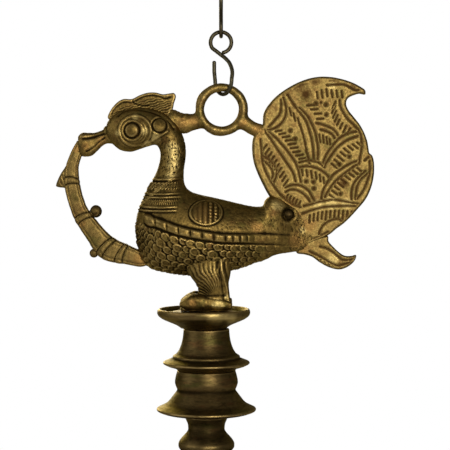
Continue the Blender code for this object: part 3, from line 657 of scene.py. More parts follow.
def node(tree, kind, **settings):
    made = tree.nodes.new(kind)
    for name, value in settings.items():
        if name in made.inputs:
            made.inputs[name].default_value = value
        else:
            setattr(made, name, value)
    return made


RED_STAIN, GREEN_STAIN = (0.115, 0.045, 0.016), (0.060, 0.062, 0.013)
# The polished colour is that of rubbed brass and of the painted highlights
BRAZE, POLISH_AND_HIGHLIGHT = (0.27, 0.145, 0.040), (0.50, 0.37, 0.13)


GRAIN_DEPTH = 0.00024


class Graph:
    """A new material's node tree, with short calls for the kinds of node that the brasses are made of."""

    def __init__(self, name, stretch):
        self.material = bpy.data.materials.new(name)
        self.material.use_nodes = True
        self.tree = self.material.node_tree
        self.link = self.tree.links.new
        scaled = node(self.tree, "ShaderNodeMapping")
        scaled.inputs["Scale"].default_value = stretch
        self.link(node(self.tree, "ShaderNodeTexCoord").outputs["Object"], scaled.inputs["Vector"])
        self.where = scaled.outputs["Vector"]

    def fill(self, socket, value):
        """Puts a number, a colour or another node's output into a socket."""
        if isinstance(value, tuple):
            socket.default_value = (*value, 1.0)
        elif isinstance(value, (int, float)):
            socket.default_value = value
        else:
            self.link(value, socket)

    def attribute(self, name):
        return node(self.tree, "ShaderNodeAttribute", attribute_name=name).outputs["Fac"]

    def cloud(self, scale, detail=4.0, rough=0.6, place=0.0):
        texture = node(self.tree, "ShaderNodeTexNoise", noise_dimensions="4D")
        self.link(self.where, texture.inputs["Vector"])
        for key, number in (("Scale", scale), ("Detail", detail), ("Roughness", rough), ("W", place)):
            texture.inputs[key].default_value = number
        return texture.outputs["Fac"]

    def remap(self, value, low, high, to_low=0.0, to_high=1.0):
        mapped = node(self.tree, "ShaderNodeMapRange", interpolation_type="SMOOTHSTEP")
        keys = ("Value", "From Min", "From Max", "To Min", "To Max")
        for key, number in zip(keys, (value, low, high, to_low, to_high)):
            self.fill(mapped.inputs[key], number)
        return mapped.outputs["Result"]

    def combine(self, operation, a, b):
        worked_out = node(self.tree, "ShaderNodeMath", operation=operation)
        self.fill(worked_out.inputs[0], a)
        self.fill(worked_out.inputs[1], b)
        return worked_out.outputs["Value"]

    def mix(self, factor, a, b):
        mixed = node(self.tree, "ShaderNodeMix", data_type="RGBA")
        for index, value in ((0, factor), (6, a), (7, b)):
            self.fill(mixed.inputs[index], value)
        return mixed.outputs[2]


def aged_colour(graph, dark, base, ridge_colour, patina, stains, mottle, hollow_patina_and_shade, on_ridges):
    """Layers over the base colour: patina, stains, specks, brazed spots, polish and painted highlights, the
    ridges' colour, and patina with painted shade in the hollows.
    """
    olive = tuple(0.5 * d + 0.5 * b for d, b in zip(dark, base))
    brown, speck = tuple(1.6 * c for c in dark), tuple(0.35 * c for c in base)
    # Brazed spots above zero, polished spots and painted highlights below it
    spots = graph.combine("MULTIPLY", graph.attribute("braze_and_highlight"), graph.remap(mottle, 0.25, 0.7, 0.6, 1.3))
    layers = [
        (graph.remap(graph.cloud(70.0, 5.0, 0.65), 0.42, 0.66, 0.0, patina), olive),
        (graph.remap(graph.cloud(130.0, 4.0, 0.6, 11.0), 0.52, 0.68, 0.0, stains), RED_STAIN),
        (graph.remap(graph.cloud(110.0, 4.0, 0.6, 23.0), 0.52, 0.68, 0.0, stains), GREEN_STAIN),
        (graph.remap(mottle, 0.44, 0.70, 0.0, 0.9 * patina), brown),
        (graph.remap(graph.cloud(620.0, 3.0, 0.65, 7.0), 0.52, 0.40, 0.0, 0.5 * patina), speck),
        (graph.remap(spots, 0.1, 0.8, 0.0, 0.65), BRAZE),
        # Polish and painted highlights
        (graph.remap(spots, -0.1, -0.7, 0.0, 0.85), POLISH_AND_HIGHLIGHT),
        # Ridges: rubbed bright brass, and a dark painted shade along the edges of the engraved and creeper
        # brasses
        (graph.combine("MULTIPLY", on_ridges, graph.remap(mottle, 0.3, 0.65, 0.25, 1.0)), ridge_colour),
        # Hollows take the dark colour: patina and painted shade
        (hollow_patina_and_shade, dark),
    ]
    colour = base
    for share, layer in layers:
        colour = graph.mix(share, colour, layer)
    return colour


def cast_grain(graph, fine, mottle):
    """Bumps for the casting's grain, with scattered pits."""
    pits = node(graph.tree, "ShaderNodeTexVoronoi", Scale=700.0)
    graph.link(graph.where, pits.inputs["Vector"])
    scattered = graph.remap(mottle, 0.45, 0.6, 0.5, 0.0)
    pit = graph.remap(graph.combine("ADD", pits.outputs["Distance"], scattered), 0.08, 0.26)
    height = graph.combine("ADD", graph.combine("MULTIPLY", fine, 0.8), graph.combine("MULTIPLY", pit, 0.5))
    bump = node(graph.tree, "ShaderNodeBump", Strength=0.7, Distance=GRAIN_DEPTH)
    graph.link(height, bump.inputs["Height"])
    return bump.outputs["Normal"]


def brass(name, dark, base, ridge_colour, roughness, patina, hollow_mm=0.16, stains=0.5, stretch=(1.0, 1.0, 1.0)):
    """Aged brass: dark with patina and painted shade in its hollows, its ridges in their own colour (rubbed
    bright brass, and for the engraved and creeper brasses a dark painted shade along the edges), with stains,
    pits and casting grain.
    """
    graph = Graph(name, stretch)
    shader = graph.tree.nodes["Principled BSDF"]
    shader.inputs["Metallic"].default_value = 1.0
    shader.inputs["Specular Tint"].default_value = (0.75, 0.66, 0.45, 1.0)
    fine = graph.cloud(900.0, 4.0, 0.7)
    mottle = graph.cloud(330.0, 4.0, 0.7, 3.0)
    rougher = graph.combine("MULTIPLY", graph.combine("SUBTRACT", fine, 0.5), 0.5 * hollow_mm)
    # Below its surroundings a vertex darkens with patina and painted shade; above them it takes the ridge
    # colour
    uneven = graph.combine("ADD", graph.attribute("hollow_and_shade"), rougher)
    hollow_patina_and_shade = graph.remap(uneven, -0.25 * hollow_mm, hollow_mm)
    on_ridges = graph.remap(uneven, -0.3 * hollow_mm, -1.3 * hollow_mm)
    colour = aged_colour(graph, dark, base, ridge_colour, patina, stains, mottle, hollow_patina_and_shade, on_ridges)
    graph.link(colour, shader.inputs["Base Color"])
    rough = graph.remap(fine, 0.3, 0.75, roughness - 0.06, roughness + 0.12)
    rough = graph.combine("ADD", rough, graph.combine("MULTIPLY", hollow_patina_and_shade, 0.2))
    rough = graph.combine("SUBTRACT", rough, graph.combine("MULTIPLY", on_ridges, 0.06))
    graph.link(rough, shader.inputs["Roughness"])
    graph.link(cast_grain(graph, fine, mottle), shader.inputs["Normal"])
    return graph.material


DARK, BROWN = (0.016, 0.010, 0.0035), (0.100, 0.048, 0.014)
CAST = brass("cast_brass_chased", DARK, (0.212, 0.136, 0.035), (0.35, 0.24, 0.08), 0.48, 0.7)
# Its ridge colour is a dark brown: painted shade on the creeper's ridges and worn edges
CREEPER_CAST = brass(
    "cast_brass_rubbed", (0.032, 0.019, 0.006), (0.245, 0.162, 0.048), (0.11, 0.075, 0.024), 0.50, 0.5,
    hollow_mm=0.2,
)
# Its ridge colour is a dark brown: painted shade along the rounded edges of the tail and feather plates
ENGRAVED = brass(
    "tail_brass_engraved", BROWN, (0.310, 0.212, 0.062), (0.12, 0.08, 0.025), 0.52, 0.55, hollow_mm=0.15,
)
LATHE = brass(
    "turned_brass_aged", DARK, (0.130, 0.085, 0.029), (0.32, 0.22, 0.08), 0.44, 0.8,
    hollow_mm=0.3, stains=0.6, stretch=(0.4, 0.4, 1.5),
)
WIRE = brass(
    "wire_brass_dull", DARK, (0.085, 0.074, 0.042), (0.15, 0.125, 0.07), 0.45, 0.6, hollow_mm=0.5, stains=0.2,
)


# ---------------------------------------------------------------- the bird


def strap_distance(x, z):
    """Height above the middle of the beaded edge of the wing."""
    line = smooth_through(STRAP, 8)
    slope = np.gradient(line[:, 1], line[:, 0])
    middle = np.interp(x, line[:, 0], line[:, 1])
    return (z - middle) * np.cos(np.arctan(np.interp(x, line[:, 0], slope)))


FIRST_BEAD_X, BEAD_PITCH, SMALL_BEAD_PITCH, SMALL_BEADS_X = -33.3, 6.9, 4.2, 13.0


def bead_row(x):
    """A cushion for each bead along the strap, smaller towards the tail."""
    front = (x - FIRST_BEAD_X) / BEAD_PITCH + 0.5
    count = round((SMALL_BEADS_X - FIRST_BEAD_X) / BEAD_PITCH)
    start = FIRST_BEAD_X + (count - 0.5) * BEAD_PITCH
    phase = np.where(x < start, front, (x - start) / SMALL_BEAD_PITCH + count)
    return 1 - np.abs(2 * (phase - np.floor(phase)) - 1) ** 4


def strap_relief(x, d):
    """The wing's beaded edge, with a groove above and below it."""
    strength = 1 - 0.95 * step(18, 32, x)
    band = np.clip(1 - np.abs(d / 2.6) ** 4, 0, 1)
    height = band * (0.3 + 1.0 * bead_row(x) * strength) * step(-36.5, -34.5, x)
    height = np.maximum(height, 2.1 * dome(np.hypot(x - FIRST_BEAD_X, d), 3.6) * (x < FIRST_BEAD_X + 3.2))
    grooves = 0.3 * bell(d - 3.3, 0.8) + 0.45 * bell(d + 3.3, 0.7)
    return (height - grooves * step(-37.5, -35.5, x)) * step(56, 46, x)


def medallion_relief(x, z):
    """The oval boss on the wing: a corded rim, plain bars and two ladders of cells."""
    u, w = (x - MEDALLION[0]) / MEDALLION_AXES[0], (z - MEDALLION[1]) / MEDALLION_AXES[1]
    r = np.hypot(u, w)
    bar = np.cos((x - 2.6) / 3.05 * math.tau)
    cell = np.cos((z + 0.1 * x) / 1.8 * math.tau)
    ladder = step(0.6, 1.4, x)
    plain = 0.12 + 0.12 * step(-8, -2, x)
    bars = (plain + 0.12 * ladder) * bar - 0.28 * ladder * cell * step(-0.3, 0.4, bar)
    height = 0.6 * step(1.04, 0.9, r) + step(0.86, 0.78, r) * bars
    height -= 0.22 * bell((r - 0.84) * 9, 0.5) + 0.25 * bell((r - 1.06) * 9, 0.6)
    height += 0.2 * bell((r - 0.94) * 9, 0.35)
    return height, step(1.16, 1.04, r)


# Rings round the collar: height, how far they stand out, and their width
COLLAR_RINGS = [(77.8, 0.45, 0.55), (69.1, 0.5, 0.55), (67.2, 0.4, 0.45), (61.2, 0.6, 0.55), (59.2, 0.6, 0.5)]
COLLAR_CHAIN_PITCH = 4.7


def collar_relief(x, z, girth):
    """Rings and chased bands round the foot of the neck."""
    bend = z - 0.004 * (x + 28) ** 2 - 0.6
    front = step(-12.5, -19.0, x)
    height = np.zeros(x.shape)
    for level, tall, wide in COLLAR_RINGS:
        reach = step(-16.5, -19.0, x) if level < 65 else 0.3 + 0.7 * front
        height += tall * bell(bend - level, wide) * reach
        height -= 0.35 * bell(bend - level + 1.05, 0.4) * reach
    link = ((girth + 1.2) / COLLAR_CHAIN_PITCH) % 1 - 0.5
    r = np.hypot(link * COLLAR_CHAIN_PITCH, bend - 73.8)
    chain = 0.6 * bell(r - 1.8, 0.5) + 0.35 * dome(r, 0.9)
    height += chain * step(77.0, 76.4, bend) * step(70.6, 71.2, bend) * front
    curls = np.sin(girth / 2.6 * math.tau) * np.sin((bend - 62.6) / 2.1 * math.pi)
    return height + 0.22 * curls * step(66.6, 66.0, bend) * step(62.4, 63.0, bend) * front


def body_relief(p, along, girth, from_strap):
    x, z = p[..., 0], p[..., 2]
    d = strap_distance(x, z)
    neck = step(57.0, 59.5, z) * step(-12.0, -17.0, x)
    height = strap_relief(x, d) * (1 - neck)
    below = step(-3.4, -4.2, d)
    fade = 1 - 0.8 * step(16, 42, x)
    height += 1.05 * fade * below * (scales(along, from_strap - 3.9, 5.2, 4.0, seed=3) - 0.5)
    wing = step(3.8, 4.6, d) * (1 - neck)
    oval, inside = medallion_relief(x, z)
    stipple = scales(along, from_strap, 1.9, 1.35, seed=9, tilt=0.2) - 0.5
    height += wing * (1 - inside) * stipple * (0.2 + 0.05 * noise(p, 6, 4))
    combed = np.abs((from_strap / 4.6) % 1 - 0.5) * 4.6
    height -= 0.07 * wing * (1 - inside) * step(8, 18, x) * bell(combed, 0.6)
    height += oval * inside * (1 - below)
    height += collar_relief(x, z, girth) * neck
    root = step(50, 54, x) * step(60, 56, z)
    height += 0.35 * root * (scales(x, z, 2.3, 2.0, seed=5, tilt=0.3) - 0.5)
    height += 0.10 * noise(p, 2.2, 1) + 0.14 * noise(p, 11, 2)
    lug = np.hypot(x - RIVET[0], 0.92 * (z - RIVET[1]))
    return height + 0.08 * bell(lug - 4.9, 1.0) - 0.7 * step(4.8, 3.0, lug)


def head_relief(p, girth):
    x, z = p[..., 0], p[..., 2]
    r = np.hypot(x - EYE[0], z - EYE[1])
    turn = np.degrees(np.arctan2(z - EYE[1], x - EYE[0]))
    height = 1.5 * dome(r, 4.1) - 0.35 * bell(r - 4.7, 0.7)
    height += 0.2 * bell(r - 5.9, 0.45) - 0.1 * bell(r - 6.8, 0.4)
    comma = step(-62, -40, turn) * step(48, 30, turn)
    for radius in (6.9, 8.4):
        height += 0.3 * comma * bell(r - radius + 0.35 * np.sin(turn / 24), 0.34)
    rim = np.hypot((x - EYE_RIM_CENTRE[0]) / EYE_RIM[0], (z - EYE_RIM_CENTRE[1]) / EYE_RIM[1])
    height += 0.32 * bell((rim - 1) * 9, 0.7) - 0.15 * bell((rim - 1.12) * 9, 0.5)
    height -= 0.15 * step(1.0, 0.9, rim)
    boss = np.hypot(x - BOSS[0], z - BOSS[1])
    height += 1.2 * dome(boss, 3.9) - 0.35 * bell(boss - 4.3, 0.5) + 0.15 * bell(boss - 5.4, 0.5)
    ridge = line_distance(x, z, smooth_through(CHEEK_RIDGE, 6), 4)
    height += 0.8 * bell(ridge, 0.9)
    groove = line_distance(x, z, smooth_through(CREST_GROOVE, 6), 5)
    height -= 0.75 * bell(groove, 0.85)
    height *= step(0.5, 3.0, np.abs(p[..., 1]))
    height += collar_relief(x, z, girth) * step(83, 80.5, z)
    height += 0.07 * noise(p, 2.0, 5) + 0.12 * noise(p, 9, 6)
    pits = np.clip(noise(p, 0.9, 8, 2) - 0.1, 0, 1)
    return height - 0.7 * pits * step(-30, -25, x) * step(108, 100, z) * step(76, 80, z)


def girths(rings):
    """Distance round each ring from its back line, on either side, in mm."""
    stretch = np.linalg.norm(np.diff(np.concatenate([rings, rings[:, :1]], axis=1), axis=1), axis=2)
    run = np.concatenate([np.zeros((len(rings), 1)), np.cumsum(stretch, axis=1)[:, :-1]], axis=1)
    total = stretch.sum(axis=1, keepdims=True)
    return np.minimum(run, total - run)


# Bright spots: a painted highlight streak down the neck, and bright spots on the head
NECK_GLINT_AND_HEAD_SPOTS = [
    (-20, 97, 5.5), (-19.6, 92, 5.5), (-19.8, 86.5, 5.5), (-21, 80, 5), (-30, 103, 4.5), (-34.6, 99.6, 3),
    (-36.4, 107, 3.5), (-42, 115.5, 3), (-52, 106, 3),
]


def bird_castings():
    """The body and the neck with its head, as two castings that meet in a groove of the collar."""
    lower = section_rings(BIRD[: SEAM_SECTION + 1], 0.45, 300, forked=True)
    upper = section_rings(BIRD[SEAM_SECTION:], 0.40, 168)

    girth = girths(lower)
    d = strap_distance(lower[..., 0], lower[..., 2])
    on_strap = np.argmin(np.abs(d[:, : d.shape[1] // 2]), axis=1)
    from_strap = girth - girth[np.arange(len(girth)), on_strap][:, None]
    stretch = np.linalg.norm(np.diff(lower, axis=0), axis=2)
    along = np.concatenate([np.zeros((1, lower.shape[1])), np.cumsum(stretch, axis=0)])
    half = girth.max(axis=1, keepdims=True)
    shaped = lower + ring_normals(lower) * body_relief(lower, along, half - girth, from_strap)[..., None]
    add_piece(
        "bird_body_cast", loft(shaped), CAST, "bird_body",
        braze=[(-41, 30, 7), (54, 42, 8), (0, 58.5, 9), (30, 50, 6)],
        polish_and_highlight=[(43, 64, 6), (57, 47, 4)],
        # Painted shade under the belly, above the leg and round the rivet
        painted_shade_and_flaws=[(-41, 42, 9), (-6, 26, 7), (49.2, 57.6, 5)],
    )

    girth = girths(upper)
    half = girth.max(axis=1, keepdims=True)
    shaped = upper + ring_normals(upper) * head_relief(upper, half - girth)[..., None]
    shaped = np.concatenate([shaped, rounded_ends(shaped[-2:], 2.2, 8)[-8:]])
    add_piece(
        "neck_and_head_cast", loft(shaped), CAST, "neck_and_head",
        braze=[(-15, 112, 6)],
        polish_and_highlight=NECK_GLINT_AND_HEAD_SPOTS,
        # Painted shade on the eye, on the boss and down the back of the neck
        painted_shade_and_flaws=[(-44.4, 108, 3.6), (-28.2, 110.8, 3.4), (-13, 98, 3.5), (-13, 90, 3.5)],
    )


def beak():
    """The beak, closed on the creeper's top, with its mouth and a line under the chin."""
    rings = section_rings(BEAK, 0.4, 72, power=2.6)
    x, z = rings[..., 0], rings[..., 2]
    height = 0.10 * noise(rings, 1.8, 11)
    mouth = line_distance(x, z, smooth_through(MOUTH, 6), 4)
    chin = line_distance(x, z, smooth_through(CHIN_LINE, 6), 4)
    height += 0.45 * step(0.0, 1.4, z - np.interp(x, *zip(*MOUTH[::-1])))
    height -= 0.6 * bell(mouth, 0.65) + 0.4 * bell(chin, 0.6)
    shaped = rings + ring_normals(rings) * height[..., None]
    add_piece(
        "beak_cast", loft(rounded_ends(shaped, 0.6)), CAST, "beak",
        braze=[(-62.5, 101, 6), (-72, 98, 4)],
        # Painted shade along the mouth and near the beak's tip
        painted_shade_and_flaws=[(-66, 104, 4), (-60, 106, 5), (-74, 97, 5)],
    )


CREST_BORDER = [
    (-43.4, 124.6), (-40.6, 126.2), (-37.2, 127.7), (-32.6, 128.5), (-28.0, 127.8), (-24.6, 126.6),
    (-21.4, 127.4),
]
CREST_FRONT_BORDER = [(-56.6, 117.4), (-54.8, 120.6), (-51.6, 123.2), (-48.8, 124.4), (-44.4, 124.2)]
CREST_SPLIT = [(-44.4, 126.6), (-43.6, 124.4), (-40.4, 122.8), (-34.0, 122.4)]
CREST_FIELD_TOP = [(-58, 117), (-50, 123), (-44, 123.5), (-37, 127), (-30, 127.6), (-24, 126), (-18, 126)]


def crest_relief(x, z, side):
    """Fine curling lines inside the plain borders of the crest's two lobes."""
    height = np.zeros(x.shape)
    for line, depth in ((CREST_BORDER, 0.4), (CREST_FRONT_BORDER, 0.35), (CREST_SPLIT, 0.45)):
        d = line_distance(x, z, smooth_through(line, 6), 4)
        height -= depth * bell(d, 0.45)
    curl = 0.45 * np.sin(x / 1.3) * np.sin(z / 1.6 + 0.4 * x)
    lines = np.sin((z - 0.3 * x + curl) / 1.5 * math.tau)
    inner = step(0, 1.6, np.interp(x, *zip(*CREST_FIELD_TOP)) - z)
    return height + 0.14 * lines * inner + 0.05 * noise(np.stack([x, 0 * x, z], axis=1), 1.4, 13)


def crest():
    shape = plate(CREST, 2.3, 0.36, crest_relief)
    add_piece("crest_plate", shape, CAST, "crest")


# ---------------------------------------------------------------- the creeper


STEM_POWER = 4.5
# Knobs on the stem: x, z, radius and how thick they are beside that radius
CURL, BUD = (-66.4, 59.2, 3.8, 0.85), (-67.5, 34.1, 2.7, 0.9)
CURL_NECK, CURL_NECK_R = [(-72.0, 0, 55.4), (-69.6, 0, 57.6), (-67.4, 0, 58.8)], 2.1


def knob(x, z, radius, flat, swirl):
    """A rounded knob with a chased swirl on its two faces."""
    turn = np.linspace(0, math.pi, 34)[1:-1]
    angle = np.arange(48) / 48 * math.tau
    out, up = np.sin(turn)[:, None], -flat * np.cos(turn)[:, None]
    ring = np.stack([out * np.cos(angle), up + 0 * angle, out * np.sin(angle)], axis=2)
    dent = 1 - swirl * bell(np.sin(angle[None, :] + 5.0 * out) - 1, 0.35) * step(0.25, 0.6, out)
    return loft(ring * (radius * dent)[..., None] + np.array([x, 0, z]))


def leaf_relief(x, z, side):
    return 0.12 * np.sin((x + 0.55 * z) / 2.6 * math.tau)


def creeper():
    """The stem in the beak: a flat face with worn edges, cross bands, a leaf, a curl and a bud."""
    rings = section_rings(CREEPER, 0.42, 96, power=STEM_POWER)
    sides = rings.shape[1]
    angle = np.arange(sides) / sides * math.tau
    across = np.sign(np.cos(angle)) * np.abs(np.cos(angle)) ** (2 / STEM_POWER)
    on_face = step(0.25, 0.6, np.abs(np.sin(angle)) ** (2 / STEM_POWER))
    middle = rings.mean(axis=1)
    run = np.concatenate([[0], np.cumsum(np.linalg.norm(np.diff(middle, axis=0), axis=1))])
    worn_edge = 0.12 * bell(np.abs(across) - 0.86, 0.12) - 0.22 * bell(np.abs(across) - 0.64, 0.09)
    height = np.zeros(rings.shape[:2]) + worn_edge * on_face
    for x, z in CREEPER_BANDS:
        at = run[np.argmin(np.hypot(middle[:, 0] - x, middle[:, 2] - z))]
        offset = run[:, None] - at - CREEPER_BOW * (1 - across**2)[None, :]
        for shift in (-1.9, 1.9):
            height -= 0.5 * bell(offset - shift, 0.42) * on_face
        height += 0.2 * bell(offset, 1.0) * on_face
    height += 0.16 * noise(rings, 2.4, 21)
    stem = loft(rounded_ends(rings + ring_normals(rings) * height[..., None], 0.5))
    leaf = plate(CREEPER_LEAF, 1.5, 0.4, leaf_relief, edge=1.1)
    neck = tube(CURL_NECK, CURL_NECK_R)
    shape = joined(stem, leaf, neck, knob(*CURL, 0.10), knob(*BUD, 0.03))
    add_piece(
        "creeper_cast", shape, CREEPER_CAST, "creeper_stem",
        braze=[(-40, 31, 7), (-74, 52, 3.5), (-78, 96, 4)],
    )


# ---------------------------------------------------------------- ring, tail and feather


def soft_min(a, b, blend):
    h = np.clip(0.5 + 0.5 * (b - a) / blend, 0, 1)
    return b + (a - b) * h - blend * h * (1 - h)


def rod_field(p, a, b, radius_a, radius_b, flatten=1.0):
    """Distance to a rod that tapers from one radius to another, squashed in Y."""
    q = p * np.array([1, flatten, 1])
    a, b = np.array(a, float), np.array(b, float)
    ab = b - a
    t = np.clip(((q - a) @ ab) / (ab @ ab), 0, 1)
    return np.linalg.norm(q - a - t[:, None] * ab, axis=1) - (radius_a + t * (radius_b - radius_a))


def ring_field(p):
    rel = p - np.array([RING_CENTRE[0], 0, RING_CENTRE[1]])
    turn = np.arctan2(rel[:, 2], rel[:, 0])
    low = step(-0.2, -1.0, np.sin(turn))
    high = step(0.55, 0.85, np.sin(turn))
    lumps = 0.16 * np.sin(3 * turn + 0.6) + 0.12 * np.sin(7 * turn + 1.9)
    bar = 2.75 - 0.25 * high + 0.15 * low + lumps * (1 - high)
    value = np.hypot(np.hypot(rel[:, 0], rel[:, 2]) - RING_R, rel[:, 1]) - bar
    nape = rod_field(p, (-21.0, 0, 112.6), (-13.5, 0, 111.8), 7.6, 5.9, 2.1)
    nape = soft_min(nape, rod_field(p, (-13.5, 0, 111.8), (-5.0, 0, 113.2), 5.5, 4.7, 1.9), 1.5)
    value = soft_min(value, nape, 2.2)
    rear = rod_field(p, (21.5, 0, 113.0), (27.2, 0, 109.2), 4.6, 3.6, 1.6)
    rear = soft_min(rear, rod_field(p, (27.2, 0, 109.2), (33.5, 0, 106.4), 3.6, 4.8, 1.8), 1.5)
    value = soft_min(value, rear, 2.0)
    hole = RING_R - 2.7 - np.hypot(rel[:, 0], rel[:, 2])
    value = np.maximum(value, np.minimum(hole, 3.0))
    pitted = step(-9, -13, p[:, 0])
    return value + 0.16 * noise(p, 2.6, 31) + 0.5 * pitted * noise(p, 1.9, 33, 2)


def suspension_ring():
    shape = surface_net(ring_field, (-23.2, -4.0, 100.5), (34.6, 4.0, 137.0), 0.38)
    add_piece(
        "ring_with_arms", shape, CAST, "suspension_ring", reach_mm=1.8,
        braze=[(-8, 113.5, 5), (-14, 112, 5), (31, 108, 6), (22, 112, 4)],
        # Painted shade on the ring and its arms
        painted_shade_and_flaws=[(-11, 118, 4), (-5, 108, 4), (9, 135.5, 4), (16, 104, 4)],
    )


# Engraved strokes of the tail plate
TAIL_LINES = [
    [(44.6, 125.9), (44.7, 121.6), (43.9, 117.4), (41.0, 113.9), (37.2, 109.6)],
    [(46.0, 126.9), (47.6, 121.6), (47.4, 116.7), (45.3, 112.5), (41.4, 109.3), (36.8, 107.9)],
    [(48.5, 128.7), (53.0, 122.0), (56.6, 117.4), (60.1, 111.7), (63.3, 100.4), (64.3, 90.2)],
    [(55.5, 120.9), (58.7, 118.1), (61.5, 114.2), (65.4, 105.4), (66.8, 95.8), (66.6, 90.2)],
    [(34.7, 107.5), (38.2, 102.9), (42.1, 96.9), (46.0, 91.2), (51.6, 82.8), (53.4, 77.1)],
    [(36.8, 107.1), (41.0, 103.6), (44.9, 99.4), (48.8, 94.8), (54.1, 86.6), (56.6, 76.8)],
    [(34.0, 92.3), (37.5, 90.2), (40.3, 87.0), (42.1, 83.5), (41.7, 79.9), (40.3, 76.8)],
    [(35.0, 88.8), (37.9, 86.3), (39.6, 83.1), (39.8, 80.3), (38.9, 78.5)],
    [(55.5, 88.4), (59.4, 89.6), (63.6, 89.5), (67.2, 88.4), (69.6, 86.6)],
    [(55.5, 85.6), (59.7, 86.3), (64.3, 85.6), (68.6, 83.8), (72.1, 81.0), (74.2, 78.5)],
    [(47.4, 73.6), (50.9, 75.0), (55.2, 75.0), (59.0, 73.2), (61.9, 70.4), (65.0, 64.9)],
    [(47.4, 70.8), (50.2, 72.2), (54.5, 71.8), (58.0, 69.7), (60.5, 67.2), (61.9, 64.9)],
    [(65.9, 112.1), (69.6, 111.1), (73.6, 109.5), (76.6, 107.5), (78.6, 104.8)],
    [(68.2, 108.1), (71.6, 107.1), (74.9, 105.5), (76.6, 103.1)],
    [(69.6, 88.0), (70.9, 91.3), (72.9, 95.0), (78.2, 101.7), (81.9, 104.7), (85.5, 106.3), (89.6, 107.0)],
    [(70.6, 85.7), (72.2, 89.0), (77.6, 96.7), (80.9, 99.7), (84.6, 102.0), (90.6, 104.3)],
    [(68.9, 66.3), (69.6, 71.0), (71.9, 75.7), (74.9, 80.0), (78.6, 83.3), (86.2, 88.0), (89.9, 89.3)],
    [(70.9, 67.7), (72.9, 71.3), (75.9, 75.7), (79.2, 79.0), (86.2, 84.7), (90.2, 87.3)],
    [(86.9, 66.3), (86.9, 71.0), (88.2, 75.7), (90.9, 79.3), (94.9, 83.3)],
    [(89.2, 66.7), (89.6, 71.0), (90.9, 75.7), (93.2, 79.3), (96.2, 81.7)],
    [(97.6, 89.3), (97.9, 84.3), (96.9, 79.3), (95.2, 74.3), (92.6, 69.7), (90.2, 67.0)],
    [(94.6, 89.7), (97.2, 92.0)],
    [(58.3, 62.5), (62.6, 63.5), (67.2, 64.9), (71.4, 65.6), (77.0, 66.2), (86.9, 64.4), (91.2, 63.5)],
    [(57.3, 57.9), (61.9, 59.6), (67.2, 61.1), (72.1, 62.1), (82.0, 62.5), (91.2, 62.5)],
    [(67.5, 45.5), (68.6, 48.7), (71.0, 51.9), (74.6, 54.0), (78.5, 54.7), (80.9, 53.6)],
    [(79.6, 125.5), (80.2, 121.5), (83.9, 115.1), (88.2, 110.8), (91.9, 106.0), (92.9, 98.0), (91.2, 87.7)],
    [(32.4, 102.2), (32.9, 96.9), (34.3, 86.3), (38.2, 77.8), (43.9, 69.7), (50.9, 63.9), (56.2, 61.8)],
    [(72.0, 134.6), (77.0, 134.9), (82.5, 134.8), (88.2, 131.8), (90.9, 131.5)],
    [(56.6, 39.5), (60.8, 41.3), (64.3, 42.7), (68.6, 44.5), (72.8, 46.9)],
]
# Rows of short strokes: the line they stand on, how many there are, and each stroke's run in x and z
TAIL_HATCHES = [
    (
        [(49.5, 120.9), (53.2, 116.0), (55.2, 113.5), (58.0, 104.0), (59.6, 95.8), (60.5, 91.9)],
        9, (1.2, -4.0),
    ),
    ([(60.1, 122.5), (62.9, 119.7), (65.0, 117.0), (66.1, 114.4)], 4, (4.2, 0.3)),
    ([(36.0, 99.0), (40.6, 92.0), (45.8, 83.6), (48.8, 78.0)], 10, (-2.4, -3.4)),
    ([(41.4, 107.1), (45.3, 103.8), (49.2, 98.8), (51.6, 94.8), (55.5, 90.5)], 9, (4.0, 0.6)),
    ([(57.0, 84.4), (62.0, 83.6), (66.4, 82.0), (70.0, 79.4)], 6, (0.6, -4.2)),
    ([(48.8, 69.2), (52.7, 67.1), (56.2, 65.3)], 5, (-1.2, -3.0)),
    ([(67.4, 105.0), (70.6, 104.2), (73.6, 102.4)], 4, (0.6, -4.0)),
    ([(74.9, 87.7), (78.6, 92.7), (82.9, 97.3), (90.2, 100.3)], 8, (3.2, -2.6)),
    ([(73.5, 69.3), (77.0, 75.0), (82.0, 80.4), (90.0, 85.3)], 9, (3.2, -2.4)),
    ([(62.0, 57.0), (68.0, 58.6), (77.0, 59.6), (87.0, 59.2)], 11, (-0.4, -4.6)),
    ([(77.2, 124.8), (77.1, 120.8), (80.2, 113.1), (85.9, 108.8)], 8, (-1.6, -3.6)),
    ([(65.9, 130.5), (70.9, 132.1), (75.4, 131.5), (80.7, 131.1)], 6, (0.6, -4.0)),
]
TAIL_DOTS = [
    (65.4, 123.6), (71.4, 123.0), (71.7, 116.9), (50.2, 107.5), (52.9, 102.6), (64.0, 76.8), (64.3, 72.9),
    (79.6, 87.0), (85.5, 92.0), (80.2, 69.7), (59.7, 77.1), (61.9, 43.4),
]
# Darkened spots on the tail: two dark flaws, and painted shade along its top edge
TAIL_FLAWS_AND_TOP_SHADE = [
    (82.2, 76, 4), (59.4, 129.5, 4.5), (88, 135, 5), (46, 132, 6), (55, 136, 6), (65, 139, 5), (77, 139, 5),
]
TAIL_FLAWS = [(82.2, 76.0, 3.0), (59.4, 129.0, 3.0), (68.4, 124.3, 1.0)]
FEATHER_LINES = [
    [(68.2, 38.1), (72.1, 37.1), (75.6, 34.9), (78.5, 32.5), (81.3, 30.4), (85.5, 30.0), (88.3, 31.1)],
    [(61.9, 35.3), (65.4, 33.5), (70.0, 31.1), (74.2, 28.6), (78.5, 26.8), (82.0, 27.5), (85.5, 28.6)],
]
FEATHER_HATCH = ([(66.0, 31.6), (71.0, 28.8), (76.0, 26.4)], 5, (-1.0, -1.9))


